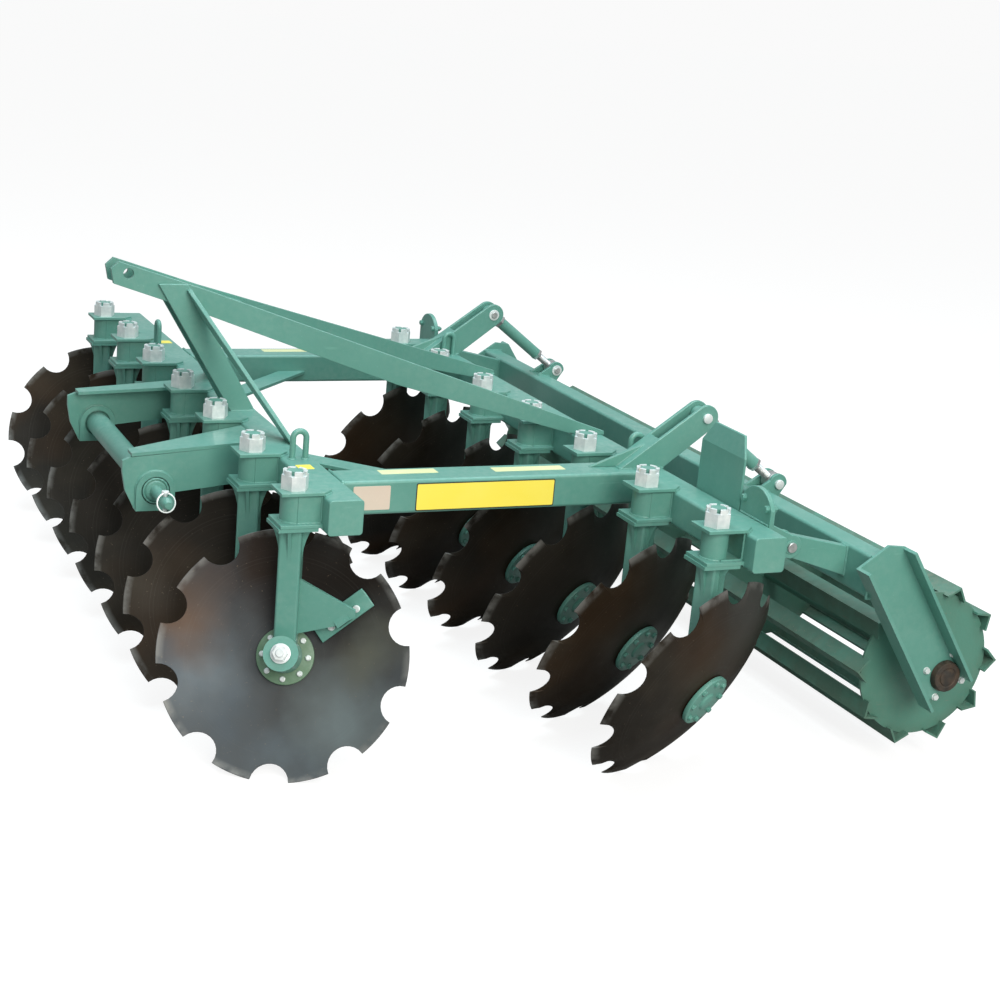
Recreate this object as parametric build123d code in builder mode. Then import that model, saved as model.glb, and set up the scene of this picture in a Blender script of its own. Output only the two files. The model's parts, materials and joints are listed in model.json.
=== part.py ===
# Mounted disc harrow with two rows of notched discs on single standards
# and a hinged bar roller behind. Millimetres, +X forward, +Y to the left,
# +Z up, origin on the ground under the middle of the machine.
import os
from math import acos, atan2, cos, hypot, radians, sin, sqrt

from build123d import *

os.makedirs("parts", exist_ok=True)

# Main frame
beam_size = 80.0
frame_clearance = 26.43
corner_radius = 8.0
row_spacing = 833.0
front_beam_x = 590.0
beam_overhang = 80.0
rail_y = 655.0
rail_width = 100.0
strap_width = 60.0
strap_thickness = 10.0
strap_drop = 46.0
strap_along_rail = 300.0
strap_along_beam = 317.0
rear_beam_x = front_beam_x - row_spacing
front_face = front_beam_x + beam_size / 2
rear_face = rear_beam_x + beam_size / 2
rear_back = rear_beam_x - beam_size / 2

# Disc rows
discs_per_row = 7
disc_pitch = 320.0
row_shift = 194.0
attack_angle = 26.0
tilt_angle = 24.0
row_span = (discs_per_row - 1) * disc_pitch
front_ys = [-row_shift - row_span / 2 + k * disc_pitch for k in range(discs_per_row)]
rear_ys = [row_shift - row_span / 2 + k * disc_pitch for k in range(discs_per_row)]

# Disc blade, flange and axle
disc_radius = 280.0
disc_depth = 62.0
disc_thickness = 6.0
disc_ahead = 45.0
notch_count = 10
notch_radius = 43.0
notch_centre = disc_radius + 2
flange_radius = 65.0
flange_thickness = 13.0
cover_thickness = 10.0
axle_radius = 17.5
axle_nut_radius = 24.0
axle_nut_height = 18.0
axle_nut_bevel = 4.0
bevel_width = 18.0
running_gap = 0.05

# The rim's lowest tooth corners stand on the ground
notch_half = acos(
    (disc_radius ** 2 + notch_centre ** 2 - notch_radius ** 2) / (2 * disc_radius * notch_centre)
)
rim_edge = disc_thickness * 0.4
axle_height = (
    disc_radius * cos(radians(tilt_angle)) * cos(notch_half)
    - (disc_ahead - rim_edge) * sin(radians(tilt_angle))
)

# The frame runs clear above the rim's highest point
rim_top = axle_height + disc_radius * cos(radians(tilt_angle)) + disc_ahead * sin(radians(tilt_angle))
beam_bottom = rim_top + frame_clearance
beam_top = beam_bottom + beam_size

# Standard and its hub
post_size = 50.0
post_rounding = 6.0
hub_radius = 39.0
hub_length = 80.0
hub_gap = 5.0
nut_gap = 1.5
spindle_radius = 22.5
thread_radius = 18.0
spindle_gap = 0.25
standard_plate = 90.0
standard_plate_thickness = 8.0
rib_reach = 44.0
rib_height = 75.0
rib_hollow = 4.0
rib_thickness = 8.0

# Standard bracket on the beam
bracket_reach = 54.0
bracket_width = 82.0
bracket_plate = 8.0
bracket_front = 95.0
bracket_lap = 26.0
bracket_corner = 24.0
bracket_foot_width = 92.0
bracket_rise = 9.0
sleeve_radius = 30.0
cheek_thickness = 8.0
cheek_step = 2.0
nut_flats = 54.0
nut_height = 42.0
nut_crown = 10.0
nut_slot = 8.0
bracket_low = beam_bottom + bracket_rise

# Scraper: a plate folded along its length, on a plate welded to the post
scraper_length = 145.0
scraper_flat = 34.0
scraper_heel = 24.0
scraper_flange = 16.0
scraper_fold = 28.0
scraper_thickness = 6.0
scraper_lug = 30.0
scraper_lug_width = 34.0
scraper_angle = 40.0
scraper_reach = 157.0
scraper_gap = 10.0
carrier_thickness = 10.0
carrier_low = 55.0
carrier_high = 186.0

# Hitch
hitch_x = 880.0
hitch_drop = 116.0
pin_shoulder = 341.5
pin_radius = 14.0
pin_length = 106.0
pin_cone = 14.0
pin_tip_radius = 8.0
linch_hole_radius = 6.0
linch_hole_inset = 34.0
shaft_radius = 29.0
shaft_bevel = 7.0
collar_radius = 46.0
collar_bore = 34.0
collar_thickness = 10.0
arm_outer = 328.0
arm_thickness = 12.0
arm_nose = 78.0
arm_root = 101.0
arm_heel = 49.0
flange_thick = 8.0
flange_rise = 3.0
flange_fall = 25.0
flange_back = 20.0
flange_gap = 10.0
flange_start = 2.0
flange_inner_front = 285.0
mast_height = 460.0
mast_pin_ahead = 9.0
top_pin_radius = 12.75
mast_half = 36.0
mast_thickness = 12.0
mast_bend_x = 700.0
mast_rear_half = 346.0
mast_nose = 52.0
mast_nose_rise = 11.0
mast_chin = 7.0
mast_chin_drop = 25.0
mast_crown = 19.0
mast_crown_rise = 29.0
mast_tail = 10.0
mast_sag_x = 230.0
mast_sag_rise = 97.0
cover_front = 852.0
cover_back = 580.0
cover_recess = 8.0
mast_cover_thickness = 6.0
cover_gap = 0.5
strut_thickness = 10.0
strut_rise = 321.0
strut_back_x = 744.0
strut_front_x = 817.0
brace_thickness = 10.0
brace_foot_near = 335.0
brace_foot_width = 65.0
brace_head = 14.0
brace_head_drop = 10.0
brace_head_height = 80.0
lower_pin_z = beam_top - hitch_drop

# Roller frame
tube_width = 60.0
tube_height = 100.0
tube_x = -568.0
tube_drop = 118.0
roller_y = 110.0
roller_half = 1100.0
arm_width = 130.0
arm_depth = 50.0
arm_wall = 8.0
arm_corner = 36.0
arm_corner_drop = 30.0
arm_head = 60.0
arm_head_x = 16.0
arm_tail = 38.0
arm_tail_x = 2.0
pivot_x = -375.0
pivot_drop = 64.0
hinge_half = 985.0
tube_z = beam_top - tube_drop
pivot_z = beam_top - pivot_drop
pivot_pin_radius = 12.0
pivot_boss = 28.0
hinge_arm_thickness = 26.0
hinge_arm_inset = 2.0
hinge_arm_upper = 44.0
hinge_arm_lower = 26.0
hinge_lug_thickness = 10.0
hinge_lug_foot = 10.0
hinge_side_gap = 1.0
hinge_pin_end = 8.0
hinge_plate = 12.0
hinge_plate_width = 125.0
hinge_plate_rise = 74.0
hinge_plate_bow = 40.0
hinge_plate_foot = 4.0

# Roller drum
drum_x = -788.0
drum_z = 245.0
drum_disc_radius = 179.0
drum_disc_thickness = 6.0
drum_inset = 72.0
bar_count = 10
bar_leg = 42.0
bar_wall = 5.0
bar_overrun = 22.0
bar_tip_radius = 203.0
drum_axle_radius = 20.0
drum_axle_end = 6.0
bearing_radius = 34.0
bearing_height = 14.0
arm_top = (tube_x + arm_head_x, tube_z + arm_head)
arm_bottom = (drum_x - arm_tail_x, drum_z - arm_tail)

# Turnbuckles between the frame and the roller frame
link_pin_radius = 10.0
clevis_plate = 10.0
clevis_gap = 40.0
clevis_boss = 32.0
clevis_bow_turn = 53.0
clevis_rise = 122.0
clevis_x = -391.0
clevis_toe = 38.0
clevis_clearance = 137.5
clevis_web = 125.0
clevis_web_thickness = 8.0
clevis_web_foot = 10.0
clevis_rib = 95.0
clevis_rib_foot = 72.0
clevis_rib_thickness = 10.0
lug_rise = 65.0
lug_behind = 56.0
lug_toe = 14.0
lug_toe_rise = 10.0
lug_crown = 26.0
eye_radius = 21.0
low_eye_radius = 24.0
eye_width = 34.0
pin_end = 6.0
rod_radius = 11.0
rod_start = 115.0
sleeve_tube_radius = 17.0
sleeve_start = 45.0
sleeve_length = 166.0
sleeve_end_wall = 20.0
low_eye_play = 3.0
link_top = (clevis_x, beam_top + clevis_rise)
link_bottom = (tube_x - lug_behind, tube_z + lug_rise)
link_y = hinge_half - roller_y - hinge_plate_width / 2 - clevis_clearance - clevis_gap / 2 - clevis_plate

# Sign plate beside the left hinge plate
sign_gap = 5.0
sign_width = 190.0
sign_thickness = 6.0
sign_drop = 68.0
sign_bend_rise = 117.0
sign_rise = 165.0
sign_lean = 12.0
sign_corner = 30.0
sign_round = 45.0

# Lifting eyes
lifting_rod = 7.0
lifting_half = 16.0
lifting_height = 66.0
lifting_beside_link = 42.0
lifting_front_left = 505.0
lifting_front_right = -765.0
lifting_front_ahead = 22.0


def save(part, name):
    part.label = name
    export_step(part, f"parts/{name}.step")


# Beams and rails of the main frame
with BuildPart() as front_beam:
    with Locations((front_beam_x, -row_shift, beam_top - beam_size / 2)):
        Box(beam_size, row_span + 2 * beam_overhang, beam_size)
    fillet(front_beam.edges().filter_by(Axis.Y), corner_radius)
save(front_beam.part, "front_beam")

with BuildPart() as rear_beam:
    with Locations((rear_beam_x, row_shift, beam_top - beam_size / 2)):
        Box(beam_size, row_span + 2 * beam_overhang, beam_size)
    fillet(rear_beam.edges().filter_by(Axis.Y), corner_radius)
save(rear_beam.part, "rear_beam")

rail_length = row_spacing - beam_size
rail_mid = (front_beam_x + rear_beam_x) / 2
for side, label in ((1, "left"), (-1, "right")):
    with BuildPart() as rail:
        with Locations((rail_mid, side * rail_y, beam_top - beam_size / 2)):
            Box(rail_length, rail_width, beam_size)
        fillet(rail.edges().filter_by(Axis.X), corner_radius)
    save(rail.part, f"side_rail_{label}")

# Flat straps across the two front corners, between front beam and rails
inner_rail = rail_y - rail_width / 2
front_back = front_beam_x - beam_size / 2
strap_run = hypot(strap_along_rail, strap_along_beam)
strap_on_beam = strap_width / 2 * strap_run / strap_along_rail
strap_on_rail = strap_width / 2 * strap_run / strap_along_beam
for side, label in ((1, "left"), (-1, "right")):
    with BuildPart() as corner:
        with BuildSketch(Plane.XY.offset(beam_top - strap_drop)):
            with BuildLine():
                Polyline(
                    (front_back, side * (inner_rail - strap_along_beam - strap_on_beam)),
                    (front_back, side * (inner_rail - strap_along_beam + strap_on_beam)),
                    (front_back - strap_along_rail + strap_on_rail, side * inner_rail),
                    (front_back - strap_along_rail - strap_on_rail, side * inner_rail),
                    close=True,
                )
            make_face()
        extrude(amount=-strap_thickness)
    save(corner.part, f"corner_plate_{label}")

# Brackets that carry the standards
spindle_bore = spindle_radius + spindle_gap


def make_bracket(cheeks):
    """One bracket, its beam face on x = 0 and its spindle at bracket_reach."""
    half = bracket_width / 2
    with BuildPart() as bracket:
        with BuildSketch(Plane.XY.offset(beam_top)):
            with BuildLine():
                Polyline(
                    (bracket_front, half),
                    (-bracket_lap + bracket_corner, half),
                    (-bracket_lap, half - bracket_corner),
                    (-bracket_lap, -half + bracket_corner),
                    (-bracket_lap + bracket_corner, -half),
                    (bracket_front, -half),
                    close=True,
                )
            make_face()
        extrude(amount=bracket_plate)
        with BuildSketch(Plane.XY.offset(bracket_low)):
            with Locations((bracket_front / 2, 0)):
                Rectangle(bracket_front, bracket_foot_width)
        extrude(amount=bracket_plate)
        with BuildSketch(Plane.XY.offset(bracket_low)):
            with Locations((bracket_reach, 0)):
                Circle(sleeve_radius)
            if cheeks:
                for y_sign in (1, -1):
                    cheek_y = y_sign * (sleeve_radius + cheek_step - cheek_thickness / 2)
                    with Locations((bracket_reach / 2, cheek_y)):
                        Rectangle(bracket_reach, cheek_thickness)
        extrude(amount=beam_top - bracket_low)
        with Locations((bracket_reach, 0, beam_top)):
            Hole(spindle_bore)
    return bracket.part


closed_bracket = make_bracket(True)
open_bracket = make_bracket(False)
for row_x, row_ys, label in ((front_face, front_ys, "front"), (rear_face, rear_ys, "rear")):
    with BuildPart() as brackets:
        for k, y in enumerate(row_ys):
            last_rear = label == "rear" and k == discs_per_row - 1
            with Locations((row_x, y, 0)):
                add(open_bracket if last_rear else closed_bracket)
    save(brackets.part, f"{label}_brackets")

# Disc axis: it leans up and forward, to the left on the front row
tilt = radians(tilt_angle)
attack = radians(attack_angle)
axis_dir = Vector(cos(tilt) * sin(attack), cos(tilt) * cos(attack), sin(tilt))
rear_dir = Vector(-cos(attack), sin(attack), 0)
axle_plane = Plane(origin=(0, 0, axle_height), x_dir=rear_dir, z_dir=axis_dir)
sphere_radius = (disc_radius ** 2 + disc_depth ** 2) / (2 * disc_depth)
vertex = disc_ahead - disc_depth
flange_face = vertex + flange_thickness
hub_start = flange_face + hub_gap
hub_end = hub_start + hub_length

# One disc blade with its flange, cover and axle, about the post at x = y = 0
with BuildPart() as disc:
    with BuildSketch(Plane.XZ):
        with BuildLine():
            start = (0, vertex)
            rim_in = (disc_radius, disc_ahead)
            mid_r = disc_radius / 2
            mid_z = vertex + sphere_radius - sqrt(sphere_radius ** 2 - mid_r ** 2)
            ThreePointArc(start, (mid_r, mid_z), rim_in)
            rim_out = (disc_radius, disc_ahead - rim_edge)
            Line(rim_in, rim_out)
            bevel_r = disc_radius - bevel_width
            bevel_z = vertex + sphere_radius - sqrt((sphere_radius + disc_thickness) ** 2 - bevel_r ** 2)
            Line(rim_out, (bevel_r, bevel_z))
            low_z = vertex + sphere_radius - sqrt((sphere_radius + disc_thickness) ** 2 - mid_r ** 2)
            ThreePointArc((bevel_r, bevel_z), (mid_r, low_z), (0, vertex - disc_thickness))
            Line((0, vertex - disc_thickness), start)
        make_face()
    revolve(axis=Axis.Z)
    with BuildSketch(Plane.XY.offset(vertex)):
        with PolarLocations(notch_centre, notch_count, start_angle=-90):
            Circle(notch_radius)
    extrude(amount=2 * disc_depth, both=True, mode=Mode.SUBTRACT)
    with BuildSketch(Plane.XY.offset(vertex)):
        Circle(flange_radius)
    extrude(amount=flange_thickness)
    with BuildSketch(Plane.XY.offset(vertex - disc_thickness - cover_thickness)):
        Circle(flange_radius)
    extrude(amount=cover_thickness + disc_thickness)
    with BuildSketch(Plane.XY.offset(flange_face)):
        Circle(axle_radius)
    extrude(amount=hub_end + nut_gap + axle_nut_height - flange_face)
    with BuildSketch(Plane.XY.offset(hub_end + nut_gap)):
        Circle(axle_nut_radius)
    extrude(amount=axle_nut_height - axle_nut_bevel)
disc_front = axle_plane.from_local_coords(disc.part)
disc_rear = mirror(disc_front, about=Plane.XZ)

# One standard: spindle, top plate with ribs, post, hub and scraper carrier
post_top = bracket_low - standard_plate_thickness
post_plane = Plane(origin=(0, 0, 0), x_dir=rear_dir, z_dir=(0, 0, 1))
post_half = post_size / 2


def blade_surface(radius):
    """Height of the blade's hollow side along its axis at a radius."""
    return vertex + sphere_radius - sqrt(sphere_radius ** 2 - radius ** 2)


lean = atan2(scraper_reach, sqrt(sphere_radius ** 2 - scraper_reach ** 2))
scraper_dir = Vector(cos(radians(scraper_angle)), sin(radians(scraper_angle)), 0)
scraper_seat = scraper_dir * scraper_reach + Vector(0, 0, blade_surface(scraper_reach) + scraper_gap)
seat_normal = scraper_dir * (-sin(lean)) + Vector(0, 0, cos(lean))
seat_dir = scraper_dir * cos(lean) + Vector(0, 0, sin(lean))
local_seat = Plane(origin=scraper_seat, x_dir=seat_dir, z_dir=seat_normal)
scraper_plane = Plane(axle_plane.location * local_seat.location)
seat_out = scraper_reach * cos(radians(scraper_angle))
seat_up = scraper_reach * sin(radians(scraper_angle)) * cos(tilt)
carrier_root = post_half - post_rounding

with BuildPart() as standard:
    with BuildSketch(post_plane.offset(axle_height)):
        Rectangle(post_size, post_size)
    extrude(amount=post_top - axle_height)
    fillet(standard.edges().filter_by(Axis.Z), post_rounding)
    with BuildSketch(Plane.XY.offset(post_top)):
        Rectangle(standard_plate, standard_plate)
    extrude(amount=standard_plate_thickness)
    with BuildSketch(Plane.XY.offset(bracket_low)):
        Circle(spindle_radius)
    extrude(amount=beam_top + bracket_plate - bracket_low)
    with BuildSketch(Plane.XY.offset(beam_top + bracket_plate)):
        Circle(thread_radius)
    extrude(amount=nut_height - nut_crown)
    for turn in (0, 90, 180, 270):
        rib_dir = rear_dir.rotate(Axis.Z, turn)
        rib_plane = Plane(origin=(0, 0, post_top), x_dir=rib_dir, z_dir=rib_dir.cross(Vector(0, 0, 1)))
        with BuildSketch(rib_plane):
            with BuildLine():
                Polyline(
                    (post_half, -rib_height),
                    (post_half - post_rounding, -rib_height),
                    (post_half - post_rounding, 0),
                    (rib_reach, 0),
                )
                ThreePointArc(
                    (rib_reach, 0),
                    ((rib_reach + post_half) / 2 - rib_hollow, -rib_height / 2 + rib_hollow / 2),
                    (post_half, -rib_height),
                )
            make_face()
        extrude(amount=rib_thickness / 2, both=True)
    with BuildSketch(axle_plane.offset(hub_start)):
        Circle(hub_radius)
    extrude(amount=hub_length)
    with BuildSketch(axle_plane.offset(hub_start)):
        Rectangle(2 * disc_radius, 2 * hub_radius + 2 * post_size)
    extrude(amount=-(2 * post_size), mode=Mode.SUBTRACT)
    with BuildSketch(axle_plane.offset(hub_start)):
        Circle(axle_radius + running_gap)
    extrude(amount=hub_length, mode=Mode.SUBTRACT)
    with BuildSketch(Plane(origin=(0, 0, axle_height), x_dir=rear_dir, z_dir=(sin(attack), cos(attack), 0))):
        with BuildLine():
            Polyline(
                (carrier_root, carrier_low),
                (carrier_root, carrier_high),
                (seat_out + scraper_lug, seat_up + scraper_lug),
                (seat_out + scraper_lug, seat_up + scraper_lug / 2),
                (seat_out, seat_up - scraper_thickness),
                close=True,
            )
        make_face()
    extrude(amount=carrier_thickness / 2, both=True)
    with BuildSketch(scraper_plane.offset(scraper_thickness)):
        with Locations((0, scraper_flat / 2 - scraper_heel)):
            Rectangle(scraper_lug_width, scraper_flat - scraper_thickness)
    extrude(amount=scraper_lug)

fold = radians(scraper_fold)
fold_out = Vector(cos(fold), sin(fold), 0)
fold_up = Vector(-sin(fold), cos(fold), 0)
fold_start = Vector(scraper_flat - scraper_heel, 0, 0)
fold_end = fold_start + fold_out * scraper_flange
inner_start = fold_start + Vector(-scraper_thickness * (1 - cos(fold)) / sin(fold), scraper_thickness, 0)
inner_end = fold_end + fold_up * scraper_thickness
blade_plane = Plane(
    origin=scraper_plane.origin - scraper_plane.x_dir * (scraper_length / 2),
    x_dir=scraper_plane.y_dir,
    z_dir=scraper_plane.x_dir,
)
with BuildPart() as blade:
    with BuildSketch(blade_plane):
        with BuildLine():
            Polyline(
                (-scraper_heel, 0),
                (fold_start.X, fold_start.Y),
                (fold_end.X, fold_end.Y),
                (inner_end.X, inner_end.Y),
                (inner_start.X, inner_start.Y),
                (-scraper_heel, scraper_thickness),
                close=True,
            )
        make_face()
    extrude(amount=scraper_length)

nut_base = beam_top + bracket_plate
with BuildPart() as castle_nut:
    with BuildSketch(Plane.XY.offset(nut_base)):
        RegularPolygon(nut_flats / 2, 6, major_radius=False)
    extrude(amount=nut_height - nut_crown)
    with BuildSketch(Plane.XY.offset(nut_base)):
        Circle(nut_flats / 2)
    extrude(amount=nut_height)
    with BuildSketch(Plane.XY.offset(nut_base)):
        Circle(thread_radius + spindle_gap)
    extrude(amount=nut_height, mode=Mode.SUBTRACT)
    with BuildSketch(Plane.XY.offset(nut_base + nut_height - nut_crown)):
        with PolarLocations(nut_flats / 2, 6):
            Rectangle(nut_flats / 2, nut_slot)
    extrude(amount=nut_crown, mode=Mode.SUBTRACT)

rear_standard = mirror(standard.part, about=Plane.XZ)
rear_blade = mirror(blade.part, about=Plane.XZ)
rows = (
    # row, post x, ys, standard, scraper blade, disc
    ("front", front_face + bracket_reach, front_ys, standard.part, blade.part, disc_front),
    ("rear", rear_face + bracket_reach, rear_ys, rear_standard, rear_blade, disc_rear),
)
for label, post_x, row_ys, one_standard, one_blade, one_disc in rows:
    spots = [(post_x, y, 0) for y in row_ys]
    with BuildPart() as standards:
        with Locations(*spots):
            add(one_standard)
    save(standards.part, f"{label}_standards")
    with BuildPart() as nuts:
        with Locations(*spots):
            add(castle_nut.part)
    save(nuts.part, f"{label}_standard_nuts")
    with BuildPart() as blades:
        with Locations(*spots):
            add(one_blade)
    save(blades.part, f"{label}_scrapers")
    for k, spot in enumerate(spots):
        with BuildPart() as one:
            with Locations(spot):
                add(one_disc)
        save(one.part, f"{label}_disc_{k + 1}")

# Lower hitch arms, each with a folded top edge that clears the brackets beside it
arm_inner = arm_outer - arm_thickness
arm_front = hitch_x + arm_nose
arm_low = lower_pin_z - arm_heel
flange_back_z = beam_top - flange_rise
flange_front_z = beam_top - flange_rise - flange_fall
left_neighbour = min(y for y in front_ys if y > 0)
right_neighbour = max(y for y in front_ys if y < -arm_thickness)
flange_inner_back = {
    1: left_neighbour + bracket_width / 2 + flange_gap,
    -1: -(right_neighbour - bracket_width / 2 - flange_gap),
}
for side, label in ((1, "left"), (-1, "right")):
    with BuildPart() as arm:
        with BuildSketch(Plane.XZ.offset(-side * arm_inner)):
            with BuildLine():
                Polyline(
                    (front_face, beam_top - arm_root),
                    (front_face, flange_back_z - flange_thick),
                    (arm_front - flange_back, flange_front_z - flange_thick),
                    (arm_front, flange_front_z - 2 * flange_thick),
                    (arm_front, lower_pin_z + collar_radius),
                    (arm_front - flange_thick, lower_pin_z),
                    (hitch_x + collar_radius, arm_low),
                    (hitch_x - collar_bore, arm_low),
                    (hitch_x - collar_radius, lower_pin_z - flange_thick),
                    close=True,
                )
            make_face()
            with Locations((hitch_x, lower_pin_z)):
                Circle(shaft_radius, mode=Mode.SUBTRACT)
        extrude(amount=-side * arm_thickness)
        slope_plane = Plane(
            origin=(front_face, 0, flange_back_z),
            x_dir=Vector(arm_front - front_face, 0, flange_front_z - flange_back_z).normalized(),
            z_dir=Vector(flange_back_z - flange_front_z, 0, arm_front - front_face).normalized(),
        )
        run = arm_front - front_face - flange_back
        with BuildSketch(slope_plane):
            with BuildLine():
                Polyline(
                    (flange_start, side * flange_inner_back[side]),
                    (flange_start, side * arm_outer),
                    (run, side * arm_outer),
                    (run, side * flange_inner_front),
                    close=True,
                )
            make_face()
        extrude(amount=-flange_thick)
        for face_y, growth in ((arm_outer, collar_thickness), (arm_inner, -collar_thickness)):
            with BuildSketch(Plane.XZ.offset(-side * face_y)):
                with BuildLine():
                    Polyline(
                        (hitch_x - collar_radius, lower_pin_z),
                        (hitch_x - collar_radius, arm_low),
                        (hitch_x + collar_radius, arm_low),
                        (hitch_x + collar_radius, lower_pin_z),
                    )
                    ThreePointArc(
                        (hitch_x + collar_radius, lower_pin_z),
                        (hitch_x, lower_pin_z + collar_radius),
                        (hitch_x - collar_radius, lower_pin_z),
                    )
                make_face()
                with Locations((hitch_x, lower_pin_z)):
                    Circle(collar_bore, mode=Mode.SUBTRACT)
            extrude(amount=-side * growth)
    save(arm.part, f"hitch_arm_{label}")

# Cross shaft, turned down to a lower link pin with a cone tip at each end
shaft_plane = Plane(origin=(hitch_x, 0, lower_pin_z), x_dir=(0, 1, 0), z_dir=(1, 0, 0))
pin_end_y = pin_shoulder + pin_length
half_outline = (
    (pin_shoulder - shaft_bevel, shaft_radius),
    (pin_shoulder, shaft_radius - shaft_bevel),
    (pin_shoulder, pin_radius),
    (pin_end_y, pin_radius),
    (pin_end_y + pin_cone, pin_tip_radius),
    (pin_end_y + pin_cone, 0),
)
with BuildPart() as shaft:
    with BuildSketch(shaft_plane):
        with BuildLine():
            Polyline(*half_outline, *[(-y, r) for y, r in reversed(half_outline)], close=True)
        make_face()
    revolve(axis=Axis((hitch_x, 0, lower_pin_z), (0, 1, 0)))
    for side in (1, -1):
        hole_y = side * (pin_end_y + pin_cone - linch_hole_inset)
        with Locations(Plane(origin=(hitch_x, hole_y, lower_pin_z), z_dir=(0, 0, 1))):
            Cylinder(linch_hole_radius, 4 * pin_radius, mode=Mode.SUBTRACT)
save(shaft.part, "hitch_shaft")

# Mast plates: side view cut out of a bent wall
top_pin_z = lower_pin_z + mast_height
mast_front = hitch_x + mast_nose
mast_top_front = (mast_front - mast_crown, top_pin_z + mast_crown_rise)
mast_top_back = (rear_back, beam_top + mast_tail)
mast_side = (
    (mast_front - mast_chin, top_pin_z - mast_chin_drop),
    (mast_front, top_pin_z + mast_nose_rise),
    mast_top_front,
    mast_top_back,
    (rear_back, beam_top),
    (rear_face + mast_tail, beam_top),
    (mast_sag_x, beam_top + mast_sag_rise),
)
bend_slope = (mast_rear_half - mast_half) / (mast_bend_x - rear_beam_x)
bend_end_x = rear_beam_x - beam_size
bend_end_y = mast_half + bend_slope * (mast_bend_x - bend_end_x)
for side, label in ((1, "left"), (-1, "right")):
    with BuildPart() as mast:
        with BuildSketch(Plane.XZ):
            with BuildLine():
                Polyline(*mast_side, close=True)
            make_face()
            with Locations((hitch_x + mast_pin_ahead, top_pin_z)):
                Circle(top_pin_radius, mode=Mode.SUBTRACT)
        extrude(amount=bend_end_y + rail_width, both=True)
        with BuildSketch(Plane.XY):
            with BuildLine():
                Polyline(
                    (mast_front + mast_thickness, side * mast_half),
                    (mast_bend_x, side * mast_half),
                    (bend_end_x, side * bend_end_y),
                    (bend_end_x, side * (bend_end_y - mast_thickness)),
                    (mast_bend_x, side * (mast_half - mast_thickness)),
                    (mast_front + mast_thickness, side * (mast_half - mast_thickness)),
                    close=True,
                )
            make_face()
        extrude(amount=top_pin_z + 2 * mast_half, mode=Mode.INTERSECT)
    save(mast.part, f"mast_plate_{label}")

# Cover strip between the mast plates along their top edges
mast_slope = (mast_top_front[1] - mast_top_back[1]) / (mast_top_front[0] - mast_top_back[0])
cover_half = mast_half - mast_thickness - cover_gap
cover_back_half = cover_half + bend_slope * (mast_bend_x - cover_back)
cover_plane = Plane(
    origin=(mast_top_front[0], 0, mast_top_front[1]),
    x_dir=Vector(-1, 0, -mast_slope).normalized(),
    z_dir=Vector(-mast_slope, 0, 1).normalized(),
).offset(-cover_recess)
unit = hypot(1, mast_slope)
cover_zero = cover_plane.origin.X + mast_cover_thickness * mast_slope / unit
cover_start = (cover_zero - cover_front) * unit
cover_bend = (cover_zero - mast_bend_x) * unit
cover_end = (cover_zero - cover_back) * unit
with BuildPart() as cover:
    with BuildSketch(cover_plane):
        with BuildLine():
            Polyline(
                (cover_start, cover_half),
                (cover_bend, cover_half),
                (cover_end, cover_back_half),
                (cover_end, -cover_back_half),
                (cover_bend, -cover_half),
                (cover_start, -cover_half),
                close=True,
            )
        make_face()
    extrude(amount=-mast_cover_thickness)
save(cover.part, "mast_cover")

# Struts from the front beam up to the mast, with a side brace each
strut_top = beam_top + strut_rise
strut_foot_back = front_back + corner_radius
strut_foot_front = front_face - corner_radius
lean_run = Vector(strut_back_x - strut_foot_back, 0, strut_top - beam_top)
lean_length = lean_run.length
for side, label in ((1, "left"), (-1, "right")):
    with BuildPart() as strut:
        with BuildSketch(Plane.XZ.offset(-side * mast_half)):
            with BuildLine():
                Polyline(
                    (strut_foot_front, beam_top),
                    (strut_foot_back, beam_top),
                    (strut_back_x, strut_top),
                    (strut_front_x, strut_top),
                    close=True,
                )
            make_face()
        extrude(amount=-side * strut_thickness)
    save(strut.part, f"mast_strut_{label}")
    brace_side = mast_half + strut_thickness
    lean_plane = Plane(
        origin=(strut_foot_back, 0, beam_top),
        x_dir=(0, 1, 0),
        z_dir=Vector(0, 1, 0).cross(lean_run).normalized(),
    )
    with BuildPart() as brace:
        with BuildSketch(lean_plane):
            with BuildLine():
                Polyline(
                    (side * brace_side, lean_length - brace_head_drop),
                    (side * (brace_side + brace_head), lean_length - brace_head_drop),
                    (side * (brace_foot_near + brace_foot_width), 0),
                    (side * brace_foot_near, 0),
                    (side * brace_side, lean_length - brace_head_drop - brace_head_height),
                    close=True,
                )
            make_face()
        extrude(amount=brace_thickness)
        with BuildSketch(Plane.XY.offset(beam_top)):
            with Locations((front_beam_x, 0)):
                Rectangle(4 * beam_size, 4 * brace_foot_near)
        extrude(amount=-beam_size, mode=Mode.SUBTRACT)
    save(brace.part, f"mast_brace_{label}")

# Brackets over the rear beam that hold the turnbuckles
base_front = rear_face + clevis_toe


def tangent_point(px, pz, cx, cz, radius, sign):
    """Point where a line from (px, pz) touches a circle."""
    dx = px - cx
    dz = pz - cz
    gap = hypot(dx, dz)
    base = atan2(dz, dx)
    spread = sign * atan2(sqrt(gap ** 2 - radius ** 2), radius)
    return (cx + radius * cos(base + spread), cz + radius * sin(base + spread))


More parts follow.
